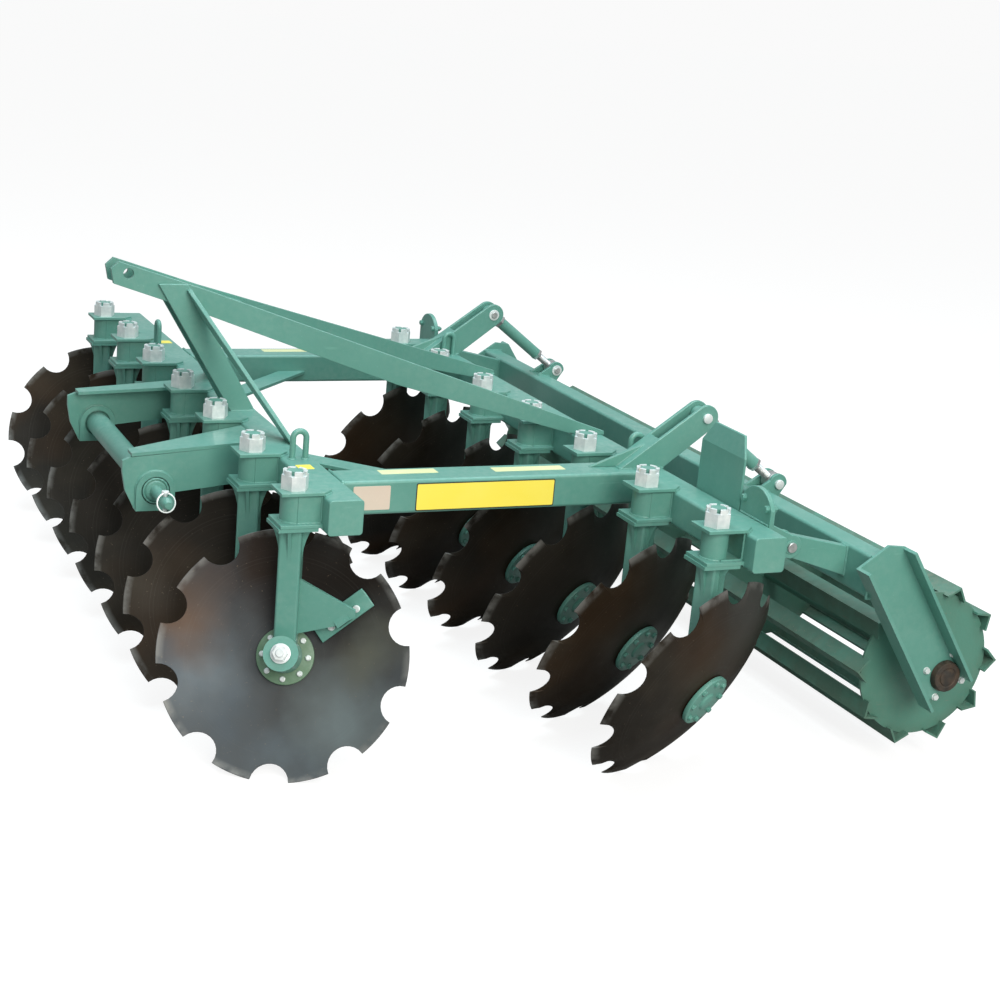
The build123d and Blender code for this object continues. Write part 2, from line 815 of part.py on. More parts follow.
upper = tangent_point(base_front, beam_top, *link_top, clevis_boss, 1)
lower = tangent_point(rear_back, beam_top, *link_top, clevis_boss, -1)
rise = Vector(upper[0] - base_front, 0, upper[1] - beam_top).normalized()
web_end = Vector(base_front, 0, beam_top) + rise * clevis_web
web_back = web_end + Vector(-rise.Z, 0, rise.X) * clevis_web_thickness
rib_end = Vector(base_front, 0, beam_top) + rise * clevis_rib
bow_turn = radians(clevis_bow_turn)
bow = Vector(link_top[0], 0, link_top[1]) + Vector(-sin(bow_turn), 0, cos(bow_turn)) * clevis_boss
for side, label in ((1, "left"), (-1, "right")):
    with BuildPart() as clevis:
        for y in (link_y + clevis_gap / 2, link_y - clevis_gap / 2 - clevis_plate):
            with BuildSketch(Plane.XZ.offset(-side * y)):
                with BuildLine():
                    Polyline(upper, (base_front, beam_top), (rear_back, beam_top), lower)
                    ThreePointArc(lower, (bow.X, bow.Z), upper)
                make_face()
                with Locations(link_top):
                    Circle(link_pin_radius, mode=Mode.SUBTRACT)
            extrude(amount=-side * clevis_plate)
        with BuildSketch(Plane.XZ.offset(-side * (link_y - clevis_gap / 2))):
            with BuildLine():
                Polyline(
                    (base_front, beam_top),
                    (web_end.X, web_end.Z),
                    (web_back.X, web_back.Z),
                    (base_front - clevis_web_foot, beam_top),
                    close=True,
                )
            make_face()
        extrude(amount=-side * clevis_gap)
        with BuildSketch(Plane.XZ.offset(-side * (link_y - clevis_rib_thickness / 2))):
            with BuildLine():
                Polyline(
                    (base_front, beam_top),
                    (base_front + clevis_rib_foot, beam_top),
                    (rib_end.X, rib_end.Z),
                    close=True,
                )
            make_face()
        extrude(amount=-side * clevis_rib_thickness)
    save(clevis.part, f"link_bracket_{label}")

pin_start = link_y - clevis_gap / 2 - clevis_plate - pin_end
with BuildPart() as clevis_pins:
    for side in (1, -1):
        with BuildSketch(Plane.XZ.offset(-side * pin_start)):
            with Locations(link_top):
                Circle(link_pin_radius)
        extrude(amount=-side * (clevis_gap + 2 * clevis_plate + 2 * pin_end))
save(clevis_pins.part, "link_pins")

# Hinge brackets: a plate with a round top on the rear beam, and two lugs
lug_gap = hinge_arm_thickness / 2 + hinge_side_gap
plate_back = rear_back - hinge_plate
plate_top = beam_top + hinge_plate_rise
plate_low = beam_bottom + hinge_plate_foot
for side, label in ((1, "left"), (-1, "right")):
    middle = roller_y + side * hinge_half
    half = hinge_plate_width / 2
    with BuildPart() as hinge:
        with BuildSketch(Plane.YZ.offset(plate_back)):
            with BuildLine():
                Polyline(
                    (middle - half, plate_top - hinge_plate_bow),
                    (middle - half, plate_low),
                    (middle + half, plate_low),
                    (middle + half, plate_top - hinge_plate_bow),
                )
                ThreePointArc(
                    (middle + half, plate_top - hinge_plate_bow),
                    (middle, plate_top),
                    (middle - half, plate_top - hinge_plate_bow),
                )
            make_face()
        extrude(amount=hinge_plate)
        for y in (middle + lug_gap, middle - lug_gap - hinge_lug_thickness):
            with BuildSketch(Plane.XZ.offset(-y)):
                with BuildLine():
                    Polyline(
                        (pivot_x, pivot_z - pivot_boss),
                        (plate_back, beam_bottom + hinge_lug_foot),
                        (plate_back, beam_top),
                        (pivot_x, pivot_z + pivot_boss),
                    )
                    ThreePointArc(
                        (pivot_x, pivot_z + pivot_boss),
                        (pivot_x - pivot_boss, pivot_z),
                        (pivot_x, pivot_z - pivot_boss),
                    )
                make_face()
                with Locations((pivot_x, pivot_z)):
                    Circle(pivot_pin_radius, mode=Mode.SUBTRACT)
            extrude(amount=-hinge_lug_thickness)
    save(hinge.part, f"hinge_bracket_{label}")

with BuildPart() as hinge_pins:
    for side in (1, -1):
        half = lug_gap + hinge_lug_thickness + hinge_pin_end
        with BuildSketch(Plane.XZ.offset(half - roller_y - side * hinge_half)):
            with Locations((pivot_x, pivot_z)):
                Circle(pivot_pin_radius)
        extrude(amount=-2 * half)
save(hinge_pins.part, "hinge_pins")

# Upright plate for a lamp or sign on the rear beam, beside the left hinge plate
sign_low = beam_top - sign_drop
sign_bend = beam_top + sign_bend_rise
sign_top = beam_top + sign_rise
sign_left = roller_y + hinge_half - hinge_plate_width / 2 - sign_gap
sign_right = sign_left - sign_width
arc_inset = sign_round * (1 - sqrt(0.5))
with BuildPart() as sign:
    with BuildSketch(Plane.XZ.offset(-sign_right)):
        with BuildLine():
            Polyline(
                (rear_back, sign_low),
                (rear_back, sign_bend),
                (rear_back - sign_lean, sign_top),
                (rear_back - sign_lean - sign_thickness, sign_top),
                (rear_back - sign_thickness, sign_bend),
                (rear_back - sign_thickness, sign_low),
                close=True,
            )
        make_face()
    extrude(amount=-sign_width)
    with BuildSketch(Plane.YZ.offset(rear_back)):
        with BuildLine():
            Polyline(
                (sign_right + sign_round, sign_low),
                (sign_left, sign_low),
                (sign_left, sign_bend),
                (sign_left - sign_corner, sign_top),
                (sign_right + sign_corner, sign_top),
                (sign_right, sign_bend),
                (sign_right, sign_low + sign_round),
            )
            ThreePointArc(
                (sign_right, sign_low + sign_round),
                (sign_right + arc_inset, sign_low + arc_inset),
                (sign_right + sign_round, sign_low),
            )
        make_face()
    extrude(amount=beam_size, both=True, mode=Mode.INTERSECT)
save(sign.part, "sign_plate")

# Lifting eyes bent from round bar, three lengthwise and one crosswise
eye_spots = (
    (front_beam_x, lifting_front_left, (1, 0, 0)),
    (front_beam_x + lifting_front_ahead, lifting_front_right, (0, 1, 0)),
    (rear_beam_x, link_y - lifting_beside_link, (1, 0, 0)),
    (rear_beam_x, lifting_beside_link - link_y, (1, 0, 0)),
)
with BuildPart() as eyes:
    for x, y, across in eye_spots:
        loop_plane = Plane(origin=(x, y, beam_top), x_dir=across, z_dir=Vector(across).cross(Vector(0, 0, 1)))
        bow_start = lifting_height - lifting_half
        with BuildLine(loop_plane):
            Line((-lifting_half, 0), (-lifting_half, bow_start))
            ThreePointArc((-lifting_half, bow_start), (0, lifting_height), (lifting_half, bow_start))
            Line((lifting_half, bow_start), (lifting_half, 0))
        with BuildSketch(Plane(origin=loop_plane.origin - loop_plane.x_dir * lifting_half, z_dir=(0, 0, 1))):
            Circle(lifting_rod)
        sweep()
save(eyes.part, "lifting_eyes")

# Roller frame: cross tube, channel arms, hinge arms and link lugs
roller_left = roller_y + roller_half
roller_right = roller_y - roller_half
with BuildPart() as tube:
    with Locations((tube_x, roller_y, tube_z)):
        Box(tube_width, 2 * roller_half - 2 * arm_wall, tube_height)
    fillet(tube.edges().filter_by(Axis.Y), corner_radius)
save(tube.part, "roller_tube")

arm_dir = Vector(arm_bottom[0] - arm_top[0], 0, arm_bottom[1] - arm_top[1])
arm_length = arm_dir.length
arm_dir = arm_dir.normalized()
for side, label in ((1, "left"), (-1, "right")):
    web_outer = roller_y + side * roller_half
    arm_plane = Plane(
        origin=(arm_top[0], web_outer, arm_top[1]),
        x_dir=arm_dir,
        z_dir=(0, side, 0),
    )
    half = arm_width / 2
    rear_sign = 1 if arm_plane.y_dir.X < 0 else -1
    with BuildPart() as arm:
        with BuildSketch(arm_plane):
            with BuildLine():
                Polyline(
                    (0, -rear_sign * half),
                    (0, rear_sign * (half - arm_corner)),
                    (arm_corner_drop, rear_sign * half),
                    (arm_length, rear_sign * half),
                    (arm_length, -rear_sign * half),
                    close=True,
                )
            make_face()
        extrude(amount=-arm_wall)
        for low, y_mid in ((0, -rear_sign), (arm_corner_drop, rear_sign)):
            with BuildSketch(arm_plane):
                with Locations(((low + arm_length) / 2, y_mid * (half - arm_wall / 2))):
                    Rectangle(arm_length - low, arm_wall)
            extrude(amount=arm_depth - arm_wall)
        with Locations(Plane(origin=(drum_x, web_outer, drum_z), z_dir=(0, side, 0))):
            Cylinder(bearing_radius, bearing_height, align=(Align.CENTER, Align.CENTER, Align.MIN))
        with Locations(Plane(origin=(drum_x, web_outer, drum_z), z_dir=(0, side, 0))):
            Cylinder(drum_axle_radius + running_gap, 4 * arm_depth, mode=Mode.SUBTRACT)
    save(arm.part, f"roller_arm_{label}")

tube_front = tube_x + tube_width / 2
arm_boss = pivot_boss - hinge_arm_inset
with BuildPart() as hinge_arms:
    for side in (1, -1):
        with BuildSketch(Plane.XZ.offset(hinge_arm_thickness / 2 - roller_y - side * hinge_half)):
            with BuildLine():
                Polyline(
                    (pivot_x, pivot_z + arm_boss),
                    (tube_front, tube_z + hinge_arm_upper),
                    (tube_front, tube_z - hinge_arm_lower),
                    (pivot_x, pivot_z - arm_boss),
                )
                ThreePointArc(
                    (pivot_x, pivot_z - arm_boss),
                    (pivot_x + arm_boss, pivot_z),
                    (pivot_x, pivot_z + arm_boss),
                )
            make_face()
            with Locations((pivot_x, pivot_z)):
                Circle(pivot_pin_radius + running_gap, mode=Mode.SUBTRACT)
        extrude(amount=-hinge_arm_thickness)
save(hinge_arms.part, "hinge_arms")

tube_top = tube_z + tube_height / 2
tube_rear = tube_x - tube_width / 2
with BuildPart() as link_lugs:
    for side in (1, -1):
        for y in (link_y + clevis_gap / 2, link_y - clevis_gap / 2 - clevis_plate):
            with BuildSketch(Plane.XZ.offset(-side * y)):
                with BuildLine():
                    Polyline(
                        (link_bottom[0] - low_eye_radius, link_bottom[1]),
                        (tube_rear - lug_toe, tube_z + lug_toe_rise),
                        (tube_rear, tube_z + lug_toe_rise),
                        (tube_rear, tube_top),
                        (tube_x + corner_radius, tube_top),
                        (link_bottom[0] + low_eye_radius, link_bottom[1] + lug_toe_rise),
                    )
                    ThreePointArc(
                        (link_bottom[0] + low_eye_radius, link_bottom[1] + lug_toe_rise),
                        (link_bottom[0], link_bottom[1] + lug_crown),
                        (link_bottom[0] - low_eye_radius, link_bottom[1]),
                    )
                make_face()
                with Locations(link_bottom):
                    Circle(link_pin_radius, mode=Mode.SUBTRACT)
            extrude(amount=-side * clevis_plate)
save(link_lugs.part, "link_lugs")

with BuildPart() as lug_pins:
    for side in (1, -1):
        with BuildSketch(Plane.XZ.offset(-side * pin_start)):
            with Locations(link_bottom):
                Circle(link_pin_radius)
        extrude(amount=-side * (clevis_gap + 2 * clevis_plate + 2 * pin_end))
save(lug_pins.part, "lug_pins")

# Turnbuckles: an eye with a threaded sleeve, and the rod that runs in it
link_vec = Vector(link_bottom[0] - link_top[0], 0, link_bottom[1] - link_top[1])
link_length = link_vec.length
link_dir = link_vec.normalized()
for side, label in ((1, "left"), (-1, "right")):
    link_plane = Plane(
        origin=(link_top[0], side * link_y, link_top[1]),
        x_dir=(0, 1, 0),
        z_dir=link_dir,
    )
    low_eye = Plane(origin=(link_bottom[0], side * link_y, link_bottom[1]), z_dir=(0, 1, 0))
    with BuildPart() as sleeve:
        with Locations(Plane(origin=link_plane.origin, z_dir=(0, 1, 0))):
            Cylinder(eye_radius, eye_width)
        with BuildSketch(link_plane.offset(link_pin_radius)):
            Circle(rod_radius)
        extrude(amount=sleeve_start - link_pin_radius)
        with BuildSketch(link_plane.offset(sleeve_start)):
            Circle(sleeve_tube_radius)
        extrude(amount=sleeve_length)
        with BuildSketch(link_plane.offset(sleeve_start + sleeve_end_wall)):
            Circle(rod_radius + running_gap)
        extrude(amount=sleeve_length, mode=Mode.SUBTRACT)
        with Locations(Plane(origin=link_plane.origin, z_dir=(0, 1, 0))):
            Cylinder(link_pin_radius + running_gap, 2 * eye_width, mode=Mode.SUBTRACT)
    save(sleeve.part, f"turnbuckle_{label}")
    with BuildPart() as rod:
        with BuildSketch(link_plane.offset(rod_start)):
            Circle(rod_radius)
        extrude(amount=link_length - rod_start - link_pin_radius)
        with Locations(low_eye):
            Cylinder(low_eye_radius, eye_width)
        with Locations(low_eye):
            Cylinder(link_pin_radius + low_eye_play, 2 * eye_width, mode=Mode.SUBTRACT)
    save(rod.part, f"turnbuckle_rod_{label}")

# Roller drum: axle, round end plates, middle plates and angle bars
drum_left = roller_left - arm_wall - drum_inset
drum_right = roller_right + arm_wall + drum_inset
plate_ys = (drum_left, drum_left - (drum_left - drum_right) / 3,
            drum_right + (drum_left - drum_right) / 3, drum_right)
leg = bar_leg * sqrt(0.5)
thick = bar_wall * sqrt(0.5)
bar_outline = (
    (bar_tip_radius, 0),
    (bar_tip_radius - leg, leg),
    (bar_tip_radius - leg - thick, leg - thick),
    (bar_tip_radius - 2 * thick, 0),
    (bar_tip_radius - leg - thick, thick - leg),
    (bar_tip_radius - leg, -leg),
)
with BuildPart() as drum:
    with BuildSketch(Plane.XZ.offset(drum_axle_end - roller_right)):
        with Locations((drum_x, drum_z)):
            Circle(drum_axle_radius)
    extrude(amount=-(2 * roller_half + 2 * drum_axle_end))
    for y in plate_ys:
        with BuildSketch(Plane.XZ.offset(-(y - drum_disc_thickness / 2))):
            with Locations((drum_x, drum_z)):
                Circle(drum_disc_radius)
        extrude(amount=-drum_disc_thickness)
    for k in range(bar_count):
        bar_plane = Plane(
            origin=(drum_x, drum_right - bar_overrun, drum_z),
            x_dir=(cos(radians(360 * k / bar_count)), 0, sin(radians(360 * k / bar_count))),
            z_dir=(0, -1, 0),
        )
        with BuildSketch(bar_plane):
            with BuildLine():
                Polyline(*bar_outline, close=True)
            make_face()
        extrude(amount=-(drum_left - drum_right + 2 * bar_overrun))
save(drum.part, "roller_drum")
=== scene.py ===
import json
from math import atan2, cos, pi, radians, sin, sqrt

import bmesh
import bpy
import numpy as np
from mathutils import Matrix, Vector


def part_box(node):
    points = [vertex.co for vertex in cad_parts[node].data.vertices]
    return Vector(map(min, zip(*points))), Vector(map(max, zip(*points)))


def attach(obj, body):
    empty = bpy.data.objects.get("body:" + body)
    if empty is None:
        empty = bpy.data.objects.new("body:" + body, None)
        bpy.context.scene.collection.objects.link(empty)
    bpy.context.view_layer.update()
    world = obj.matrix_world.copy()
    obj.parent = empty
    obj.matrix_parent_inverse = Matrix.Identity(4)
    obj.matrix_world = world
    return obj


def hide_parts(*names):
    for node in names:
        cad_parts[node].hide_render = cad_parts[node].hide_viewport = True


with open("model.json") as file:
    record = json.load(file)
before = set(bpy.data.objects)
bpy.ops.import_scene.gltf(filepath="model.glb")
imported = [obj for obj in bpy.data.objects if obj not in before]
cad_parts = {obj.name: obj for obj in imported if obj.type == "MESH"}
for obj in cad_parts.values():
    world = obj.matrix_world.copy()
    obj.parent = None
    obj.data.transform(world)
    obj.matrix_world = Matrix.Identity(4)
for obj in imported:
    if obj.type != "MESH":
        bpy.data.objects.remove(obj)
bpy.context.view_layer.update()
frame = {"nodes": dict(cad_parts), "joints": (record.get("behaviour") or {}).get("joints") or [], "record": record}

# Places on the frame, in metres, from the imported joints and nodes
JOINTS = {joint["name"]: joint for joint in frame["joints"]}
DISC_JOINTS = [joint for name, joint in JOINTS.items() if "disc" in name]
FRONT_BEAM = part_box("front_beam")
REAR_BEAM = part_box("rear_beam")
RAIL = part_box("side_rail_left")
TOP = FRONT_BEAM[1][2]
UNDER = FRONT_BEAM[0][2]
SHAFT_Z = TOP - 0.116
LINK_TOP = (-0.391, TOP + 0.122)
LINK_LOW = (-0.624, TOP - 0.053)
LINK_Y = 0.645
HINGE_YS = (1.095, -0.875)
HINGE_PIVOT = (-0.375, TOP - 0.064)
WEB_YS = ((1, 1.210), (-1, -0.990))
DRUM = (-0.788, 0.245)
SHAFT_X = 0.880
HITCH_ARM_FACES = (0.316, 0.328)
HITCH_PIN_SHOULDER = 0.338
LINCH_PIN_Y = 0.4275
MAST_HALF = 0.046
MAST_FOOT = (0.558, 0.622)
MAST_TAIL = (-0.283, -0.205)
MAST_TAIL_Y = 0.346
LINK_PLATES = (LINK_Y - 0.030, LINK_Y + 0.030)
LINK_BRACKET = (-0.283, -0.165)
HINGE_PLATE_HALF = 0.0625
HINGE_ARM_HALF = 0.013
TUBE_BACK = -0.598
TUBE_FRONT = -0.538
TUBE_LOW = TOP - 0.168
TUBE_TOP = TOP - 0.068
LIFTING_EYES = (
    (0.590, 0.505, (1, 0)),
    (0.612, -0.765, (0, 1)),
    (-0.243, 0.603, (1, 0)),
    (-0.243, -0.603, (1, 0)),
)

# Disc: blade, flange, cover and axle, about the disc's own axis
BLADE_RADIUS = 0.280
BLADE_DEPTH = 0.062
BLADE_THICK = 0.006
BLADE_AHEAD = 0.045
BLADE_INNER = 0.02
BEVEL_WIDTH = 0.017
NOTCH_COUNT = 10
NOTCH_RADIUS = 0.043
NOTCH_CENTRE = 0.282
FLANGE_RADIUS = 0.065
FLANGE_THICK = 0.013
COVER_THICK = 0.010
FLANGE_BOLTS = 8
FLANGE_BOLT_CIRCLE = 0.052
AXLE_RADIUS = 0.0175
HUB_END = 0.081
SPHERE = (BLADE_RADIUS ** 2 + BLADE_DEPTH ** 2) / (2 * BLADE_DEPTH)
VERTEX = BLADE_AHEAD - BLADE_DEPTH

# Brackets, standards and scrapers
BRACKET_REACH = 0.054
BRACKET_PLATE = 0.008
BRACKET_LOW = UNDER + 0.009
SLEEVE_RADIUS = 0.030
CHEEK_FACE = 0.032
NUT_BASE = TOP + BRACKET_PLATE
NUT_HEIGHT = 0.042
THREAD_RADIUS = 0.0175
SCRAPER_REACH = 0.157
SCRAPER_ANGLE = radians(40)
SCRAPER_FACE = 0.016
SCRAPER_BOLT_STEP = 0.0355

# Bolts and nuts: across flats, and height
FLANGE_BOLT = (0.0105, 0.0060)
COVER_NUT = (0.0115, 0.0060)
SCRAPER_BOLT = (0.0135, 0.0075)
BEARING_BOLT = (0.0140, 0.0080)
PLATE_BOLT = (0.0140, 0.0080)
PLATE_NUT = (0.0140, 0.0100)
BEARING_BOLT_CIRCLE = 0.0555
BEARING_BOLT_ANGLES = (17, 107, 197, 287)

# Labels: from and to along x, heights on the rail's side, and y for those on top
LABEL = (0.022, 0.373)
LABEL_HEIGHTS = (UNDER + 0.005, UNDER + 0.071)
LABEL_BORDER = 0.0025
CREAM_PLATE = (0.436, 0.525)
CREAM_HEIGHTS = (UNDER + 0.012, UNDER + 0.068)
PALE_STRIPS = ((0.300, 0.440, 0.638), (-0.025, 0.159, 0.645), (0.172, 0.322, -0.671))
STRIP_WIDTH = 0.034
STICKERS = ((0.580, 0.616, 0.576), (0.565, 0.601, -0.792))
STICKER_WIDTH = 0.036

# Camera, in metres and degrees, and its focal length in picture widths
CAMERA_SPOT = (1.8888, 4.3303, 1.7023)
CAMERA_AZIMUTH = 154.5237
CAMERA_ELEVATION = 15.8513
CAMERA_ROLL = 5.1814
CAMERA_FOCAL = 1.794777
SENSOR_WIDTH = 36.0


# Surfaces: each is a pair of arrays, points (N, 3) and quads (M, 4)

def grid(points, wrap_rows=False, wrap_cols=False):
    """Quads over a grid of points P[i, j]; a wrapped direction joins its last line to its first."""
    rows, cols = points.shape[:2]
    index = np.arange(rows * cols).reshape(rows, cols)
    if wrap_rows:
        index = np.vstack([index, index[:1]])
    if wrap_cols:
        index = np.hstack([index, index[:, :1]])
    quads = np.stack([index[:-1, :-1], index[1:, :-1], index[1:, 1:], index[:-1, 1:]], -1)
    return points.reshape(-1, 3), quads.reshape(-1, 4)


def join(surfaces):
    """One surface from several, each one's quads counted on from the points before it."""
    surfaces = list(surfaces)
    counts = np.cumsum([0] + [len(points) for points, _ in surfaces])
    points = np.vstack([points for points, _ in surfaces])
    quads = np.vstack([quads + start for (_, quads), start in zip(surfaces, counts)])
    return points, quads


def placed(surface, origin, x_axis=(1, 0, 0), z_axis=(0, 0, 1)):
    """Surface moved to an origin and turned so that its x and z lie along two given directions."""
    z = np.array(z_axis, float) / np.linalg.norm(z_axis)
    x = np.array(x_axis, float)
    x = x - z * x.dot(z)
    x /= np.linalg.norm(x)
    turn = np.stack([x, np.cross(z, x), z])
    return surface[0] @ turn + np.array(origin, float), surface[1]


def turned(profile, around=32):
    """Surface of revolution: point (r, h) of the profile goes to (r cos t, r sin t, h)."""
    profile = np.array(profile, float)
    t = np.arange(around) * 2 * pi / around
    radius, height = profile[:, :1], profile[:, 1:]
    points = np.stack([radius * np.cos(t), radius * np.sin(t), height + 0 * t], -1)
    return grid(points, wrap_cols=True)


def ring(profile, around=32):
    """Closed profile (r, h) turned round the axis, which leaves a bore."""
    points, quads = turned(profile, around)
    return grid(points.reshape(len(profile), around, 3), wrap_rows=True, wrap_cols=True)


def faceted(profile, sides):
    """Prism-like solid: like turned, with straight sides and its radius measured across flats."""
    profile = np.array(profile, float)
    profile[:, 0] /= cos(pi / sides)
    return turned(profile, sides)


def rounded_profile(radius, low, high, edge, steps=3):
    """Half outline of a disc-like solid whose two rims are rounded by quarter circles of size edge."""
    t = np.linspace(0, pi / 2, steps + 1)
    lower = np.stack([radius - edge + edge * np.sin(t), low + edge - edge * np.cos(t)], -1)
    upper = np.stack([radius - edge + edge * np.cos(t), high - edge + edge * np.sin(t)], -1)
    return np.vstack([[[0, low]], lower, upper, [[0, high]]])


def threaded(radius, low, high, pitch=0.002, depth=0.0009, around=18):
    """Threaded rod: its radius swings from crest to root and back once a pitch along its height."""
    count = 2 * int(round((high - low) / pitch))
    heights = np.linspace(low, high, count + 1)
    radii = radius - depth * (np.arange(count + 1) % 2)
    return turned([(0, low), *zip(radii, heights), (0, high)], around)


def swept(path, radius, around=12, closed=False):
    """Tube of a given radius (one value, or one per path point) whose centre line is the path."""
    path = np.array(path, float)
    if closed:
        ahead = np.roll(path, -1, 0) - np.roll(path, 1, 0)
        spokes = path - path.mean(0)
        across = np.cross(spokes, np.roll(spokes, -1, 0)).sum(0)
    else:
        ahead = np.gradient(path, axis=0)
        across = ahead[0] + np.array([0.31, 0.57, 0.23]) * np.linalg.norm(ahead[0])
    ahead /= np.linalg.norm(ahead, axis=1)[:, None]
    side = np.cross(ahead, across)
    side /= np.linalg.norm(side, axis=1)[:, None]
    up = np.cross(ahead, side)
    t = np.arange(around) * 2 * pi / around
    size = np.broadcast_to(np.array(radius, float), (len(path),))[:, None, None]
    circle = side[:, None] * np.cos(t)[:, None] + up[:, None] * np.sin(t)[:, None]
    points = path[:, None] + size * circle
    if not closed:
        ends = [path[None, :1].repeat(around, 1), path[None, -1:].repeat(around, 1)]
        points = np.concatenate([ends[0], points, ends[1]])
    return grid(points, wrap_rows=closed, wrap_cols=True)


def along(corners, step, closed=False):
    """Points at even steps along the straight runs between corners."""
    corners = np.array(corners, float)
    if closed:
        corners = np.vstack([corners, corners[:1]])
    runs = np.linalg.norm(np.diff(corners, axis=0), axis=1)
    distance = np.concatenate([[0], np.cumsum(runs)])
    count = max(int(round(distance[-1] / step)), 3)
    where = np.linspace(0, distance[-1], count + 1)
    points = np.stack([np.interp(where, distance, corners[:, k]) for k in range(3)], -1)
    return points[:-1] if closed else points


def bead(corners, size=0.0032, closed=False):
    """Weld: a thin tube along corners whose radius ripples, half sunk into what it joins."""
    path = along(corners, 0.004, closed)
    count = np.arange(len(path))
    ripple = size * (1 + 0.16 * np.sin(2.1 * count) + 0.08 * np.sin(0.9 * count))
    return swept(path, ripple, 6, closed)


def ring_bead(y, radius, size):
    """Weld in a circle round the cross shaft, at one y."""
    t = np.linspace(0, 2 * pi, 49)[:-1]
    return bead([(SHAFT_X + radius * cos(a), y, SHAFT_Z + radius * sin(a)) for a in t], size, True)


def arc(centre, radius, start, end, height, steps=16):
    """Points on a level arc about a centre (x, y), angles in degrees."""
    t = np.radians(np.linspace(start, end, steps + 1))
    return np.stack([centre[0] + radius * np.cos(t), centre[1] + radius * np.sin(t), height + 0 * t], -1)


def slab(outline, low, high, edge=0.0012):
    """Plate: a convex outline in x and y carried from low to high, with a small chamfer on both rims."""
    outline = np.array(outline, float)
    middle = outline.mean(0)
    inward = middle - outline
    inward = inward / np.linalg.norm(inward, axis=1)[:, None] * edge * 1.4
    rings = [
        (np.tile(middle, (len(outline), 1)), low),
        (outline + inward, low),
        (outline, low + edge),
        (outline, high - edge),
        (outline + inward, high),
        (np.tile(middle, (len(outline), 1)), high),
    ]
    points = np.stack([np.column_stack([one, np.full(len(one), h)]) for one, h in rings])
    return grid(points, wrap_cols=True)


def rounded_outline(length, width, corner, steps=4):
    """Outline of a rectangle about its middle whose corners are quarter circles."""
    t = np.linspace(0, pi / 2, steps + 1)
    half_x, half_y = length / 2 - corner, width / 2 - corner
    corners = enumerate(((1, 1), (-1, 1), (-1, -1), (1, -1)))
    spans = [(k * pi / 2 + t, side_x * half_x, side_y * half_y) for k, (side_x, side_y) in corners]
    return np.vstack([np.stack([x + corner * np.cos(a), y + corner * np.sin(a)], -1) for a, x, y in spans])


def piece(name, surface, material, body, angle=32, own=None):
    """Object from a surface: doubles merged, faces outwards, edges sharper than an angle kept sharp.
    Where it is given, own holds each point's place on the part's own axes, for its material."""
    points, quads = surface
    mesh = bpy.data.meshes.new(name)
    mesh.from_pydata(points.tolist(), [], quads.tolist())
    if own is not None:
        attribute = mesh.attributes.new("own", "FLOAT_VECTOR", "POINT")
        attribute.data.foreach_set("vector", own.astype(np.float32).ravel())
    work = bmesh.new()
    work.from_mesh(mesh)
    bmesh.ops.remove_doubles(work, verts=work.verts, dist=2e-6)
    bmesh.ops.dissolve_degenerate(work, edges=work.edges, dist=1e-6)
    bmesh.ops.recalc_face_normals(work, faces=work.faces)
    work.to_mesh(mesh)
    work.free()
    mesh.shade_smooth()
    mesh.set_sharp_from_angle(angle=radians(angle))
    mesh.materials.append(material)
    made = bpy.data.objects.new(name, mesh)
    bpy.context.scene.collection.objects.link(made)
    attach(made, body)
    return made


def softened(name, material, body, width=0.0016):
    """Copy of a CAD node, its flat faces made whole and its sharp edges rounded by a narrow bevel."""
    mesh = frame["nodes"][name].data.copy()
    mesh.materials.clear()
    mesh.materials.append(material)
    work = bmesh.new()
    work.from_mesh(mesh)
    bmesh.ops.remove_doubles(work, verts=work.verts, dist=1e-5)
    bmesh.ops.dissolve_limit(work, angle_limit=radians(0.8), verts=work.verts, edges=work.edges)
    work.to_mesh(mesh)
    work.free()
    mesh.shade_smooth()
    mesh.set_sharp_from_angle(angle=radians(16))
    made = bpy.data.objects.new(f"{name}_finished", mesh)
    bpy.context.scene.collection.objects.link(made)
    edges = made.modifiers.new("rounded edges", "BEVEL")
    edges.width = width
    edges.segments = 2
    edges.limit_method = "ANGLE"
    edges.angle_limit = radians(38)
    edges.miter_outer = "MITER_ARC"
    even = made.modifiers.new("flat faces", "WEIGHTED_NORMAL")
    even.keep_sharp = True
    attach(made, body)
    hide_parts(name)


# Shader groups and materials

def group(name, inputs, outputs):
    """Empty shader group with named inputs (name, kind, value) and outputs (name, kind)."""
    tree = bpy.data.node_groups.new(name, "ShaderNodeTree")
    for label, kind, value in inputs:
        socket = tree.interface.new_socket(label, in_out="INPUT", socket_type=kind)
        socket.default_value = value
    for label, kind in outputs:
        tree.interface.new_socket(label, in_out="OUTPUT", socket_type=kind)
    tree.nodes.new("NodeGroupInput")
    tree.nodes.new("NodeGroupOutput")
    return tree


def node(tree, kind, links=None, **values):
    """Node with its properties and socket values set, and its inputs linked from other sockets."""
    made = tree.nodes.new(kind)
    for key, value in values.items():
        if hasattr(made, key):
            setattr(made, key, value)
        else:
            made.inputs[key.replace("_", " ")].default_value = value
    for key, source in (links or {}).items():
        tree.links.new(source, made.inputs[key])
    return made


def between(tree, value, low, high, to_low=0.0, to_high=1.0):
    """Value carried from the range low to high onto another range, and held at its ends."""
    ramp = node(tree, "ShaderNodeMapRange", {"Value": value})
    for label, number in (("From Min", low), ("From Max", high), ("To Min", to_low), ("To Max", to_high)):
        ramp.inputs[label].default_value = number
    return ramp.outputs[0]


def object_place(tree, offset=(0, 0, 0), scale=(1, 1, 1)):
    """Object coordinates, moved and scaled."""
    where = tree.nodes.get("where") or tree.nodes.new("ShaderNodeTexCoord")
    where.name = "where"
    shift = node(tree, "ShaderNodeMapping", {"Vector": where.outputs["Object"]})
    shift.inputs["Location"].default_value = offset
    shift.inputs["Scale"].default_value = scale
    return shift.outputs[0]


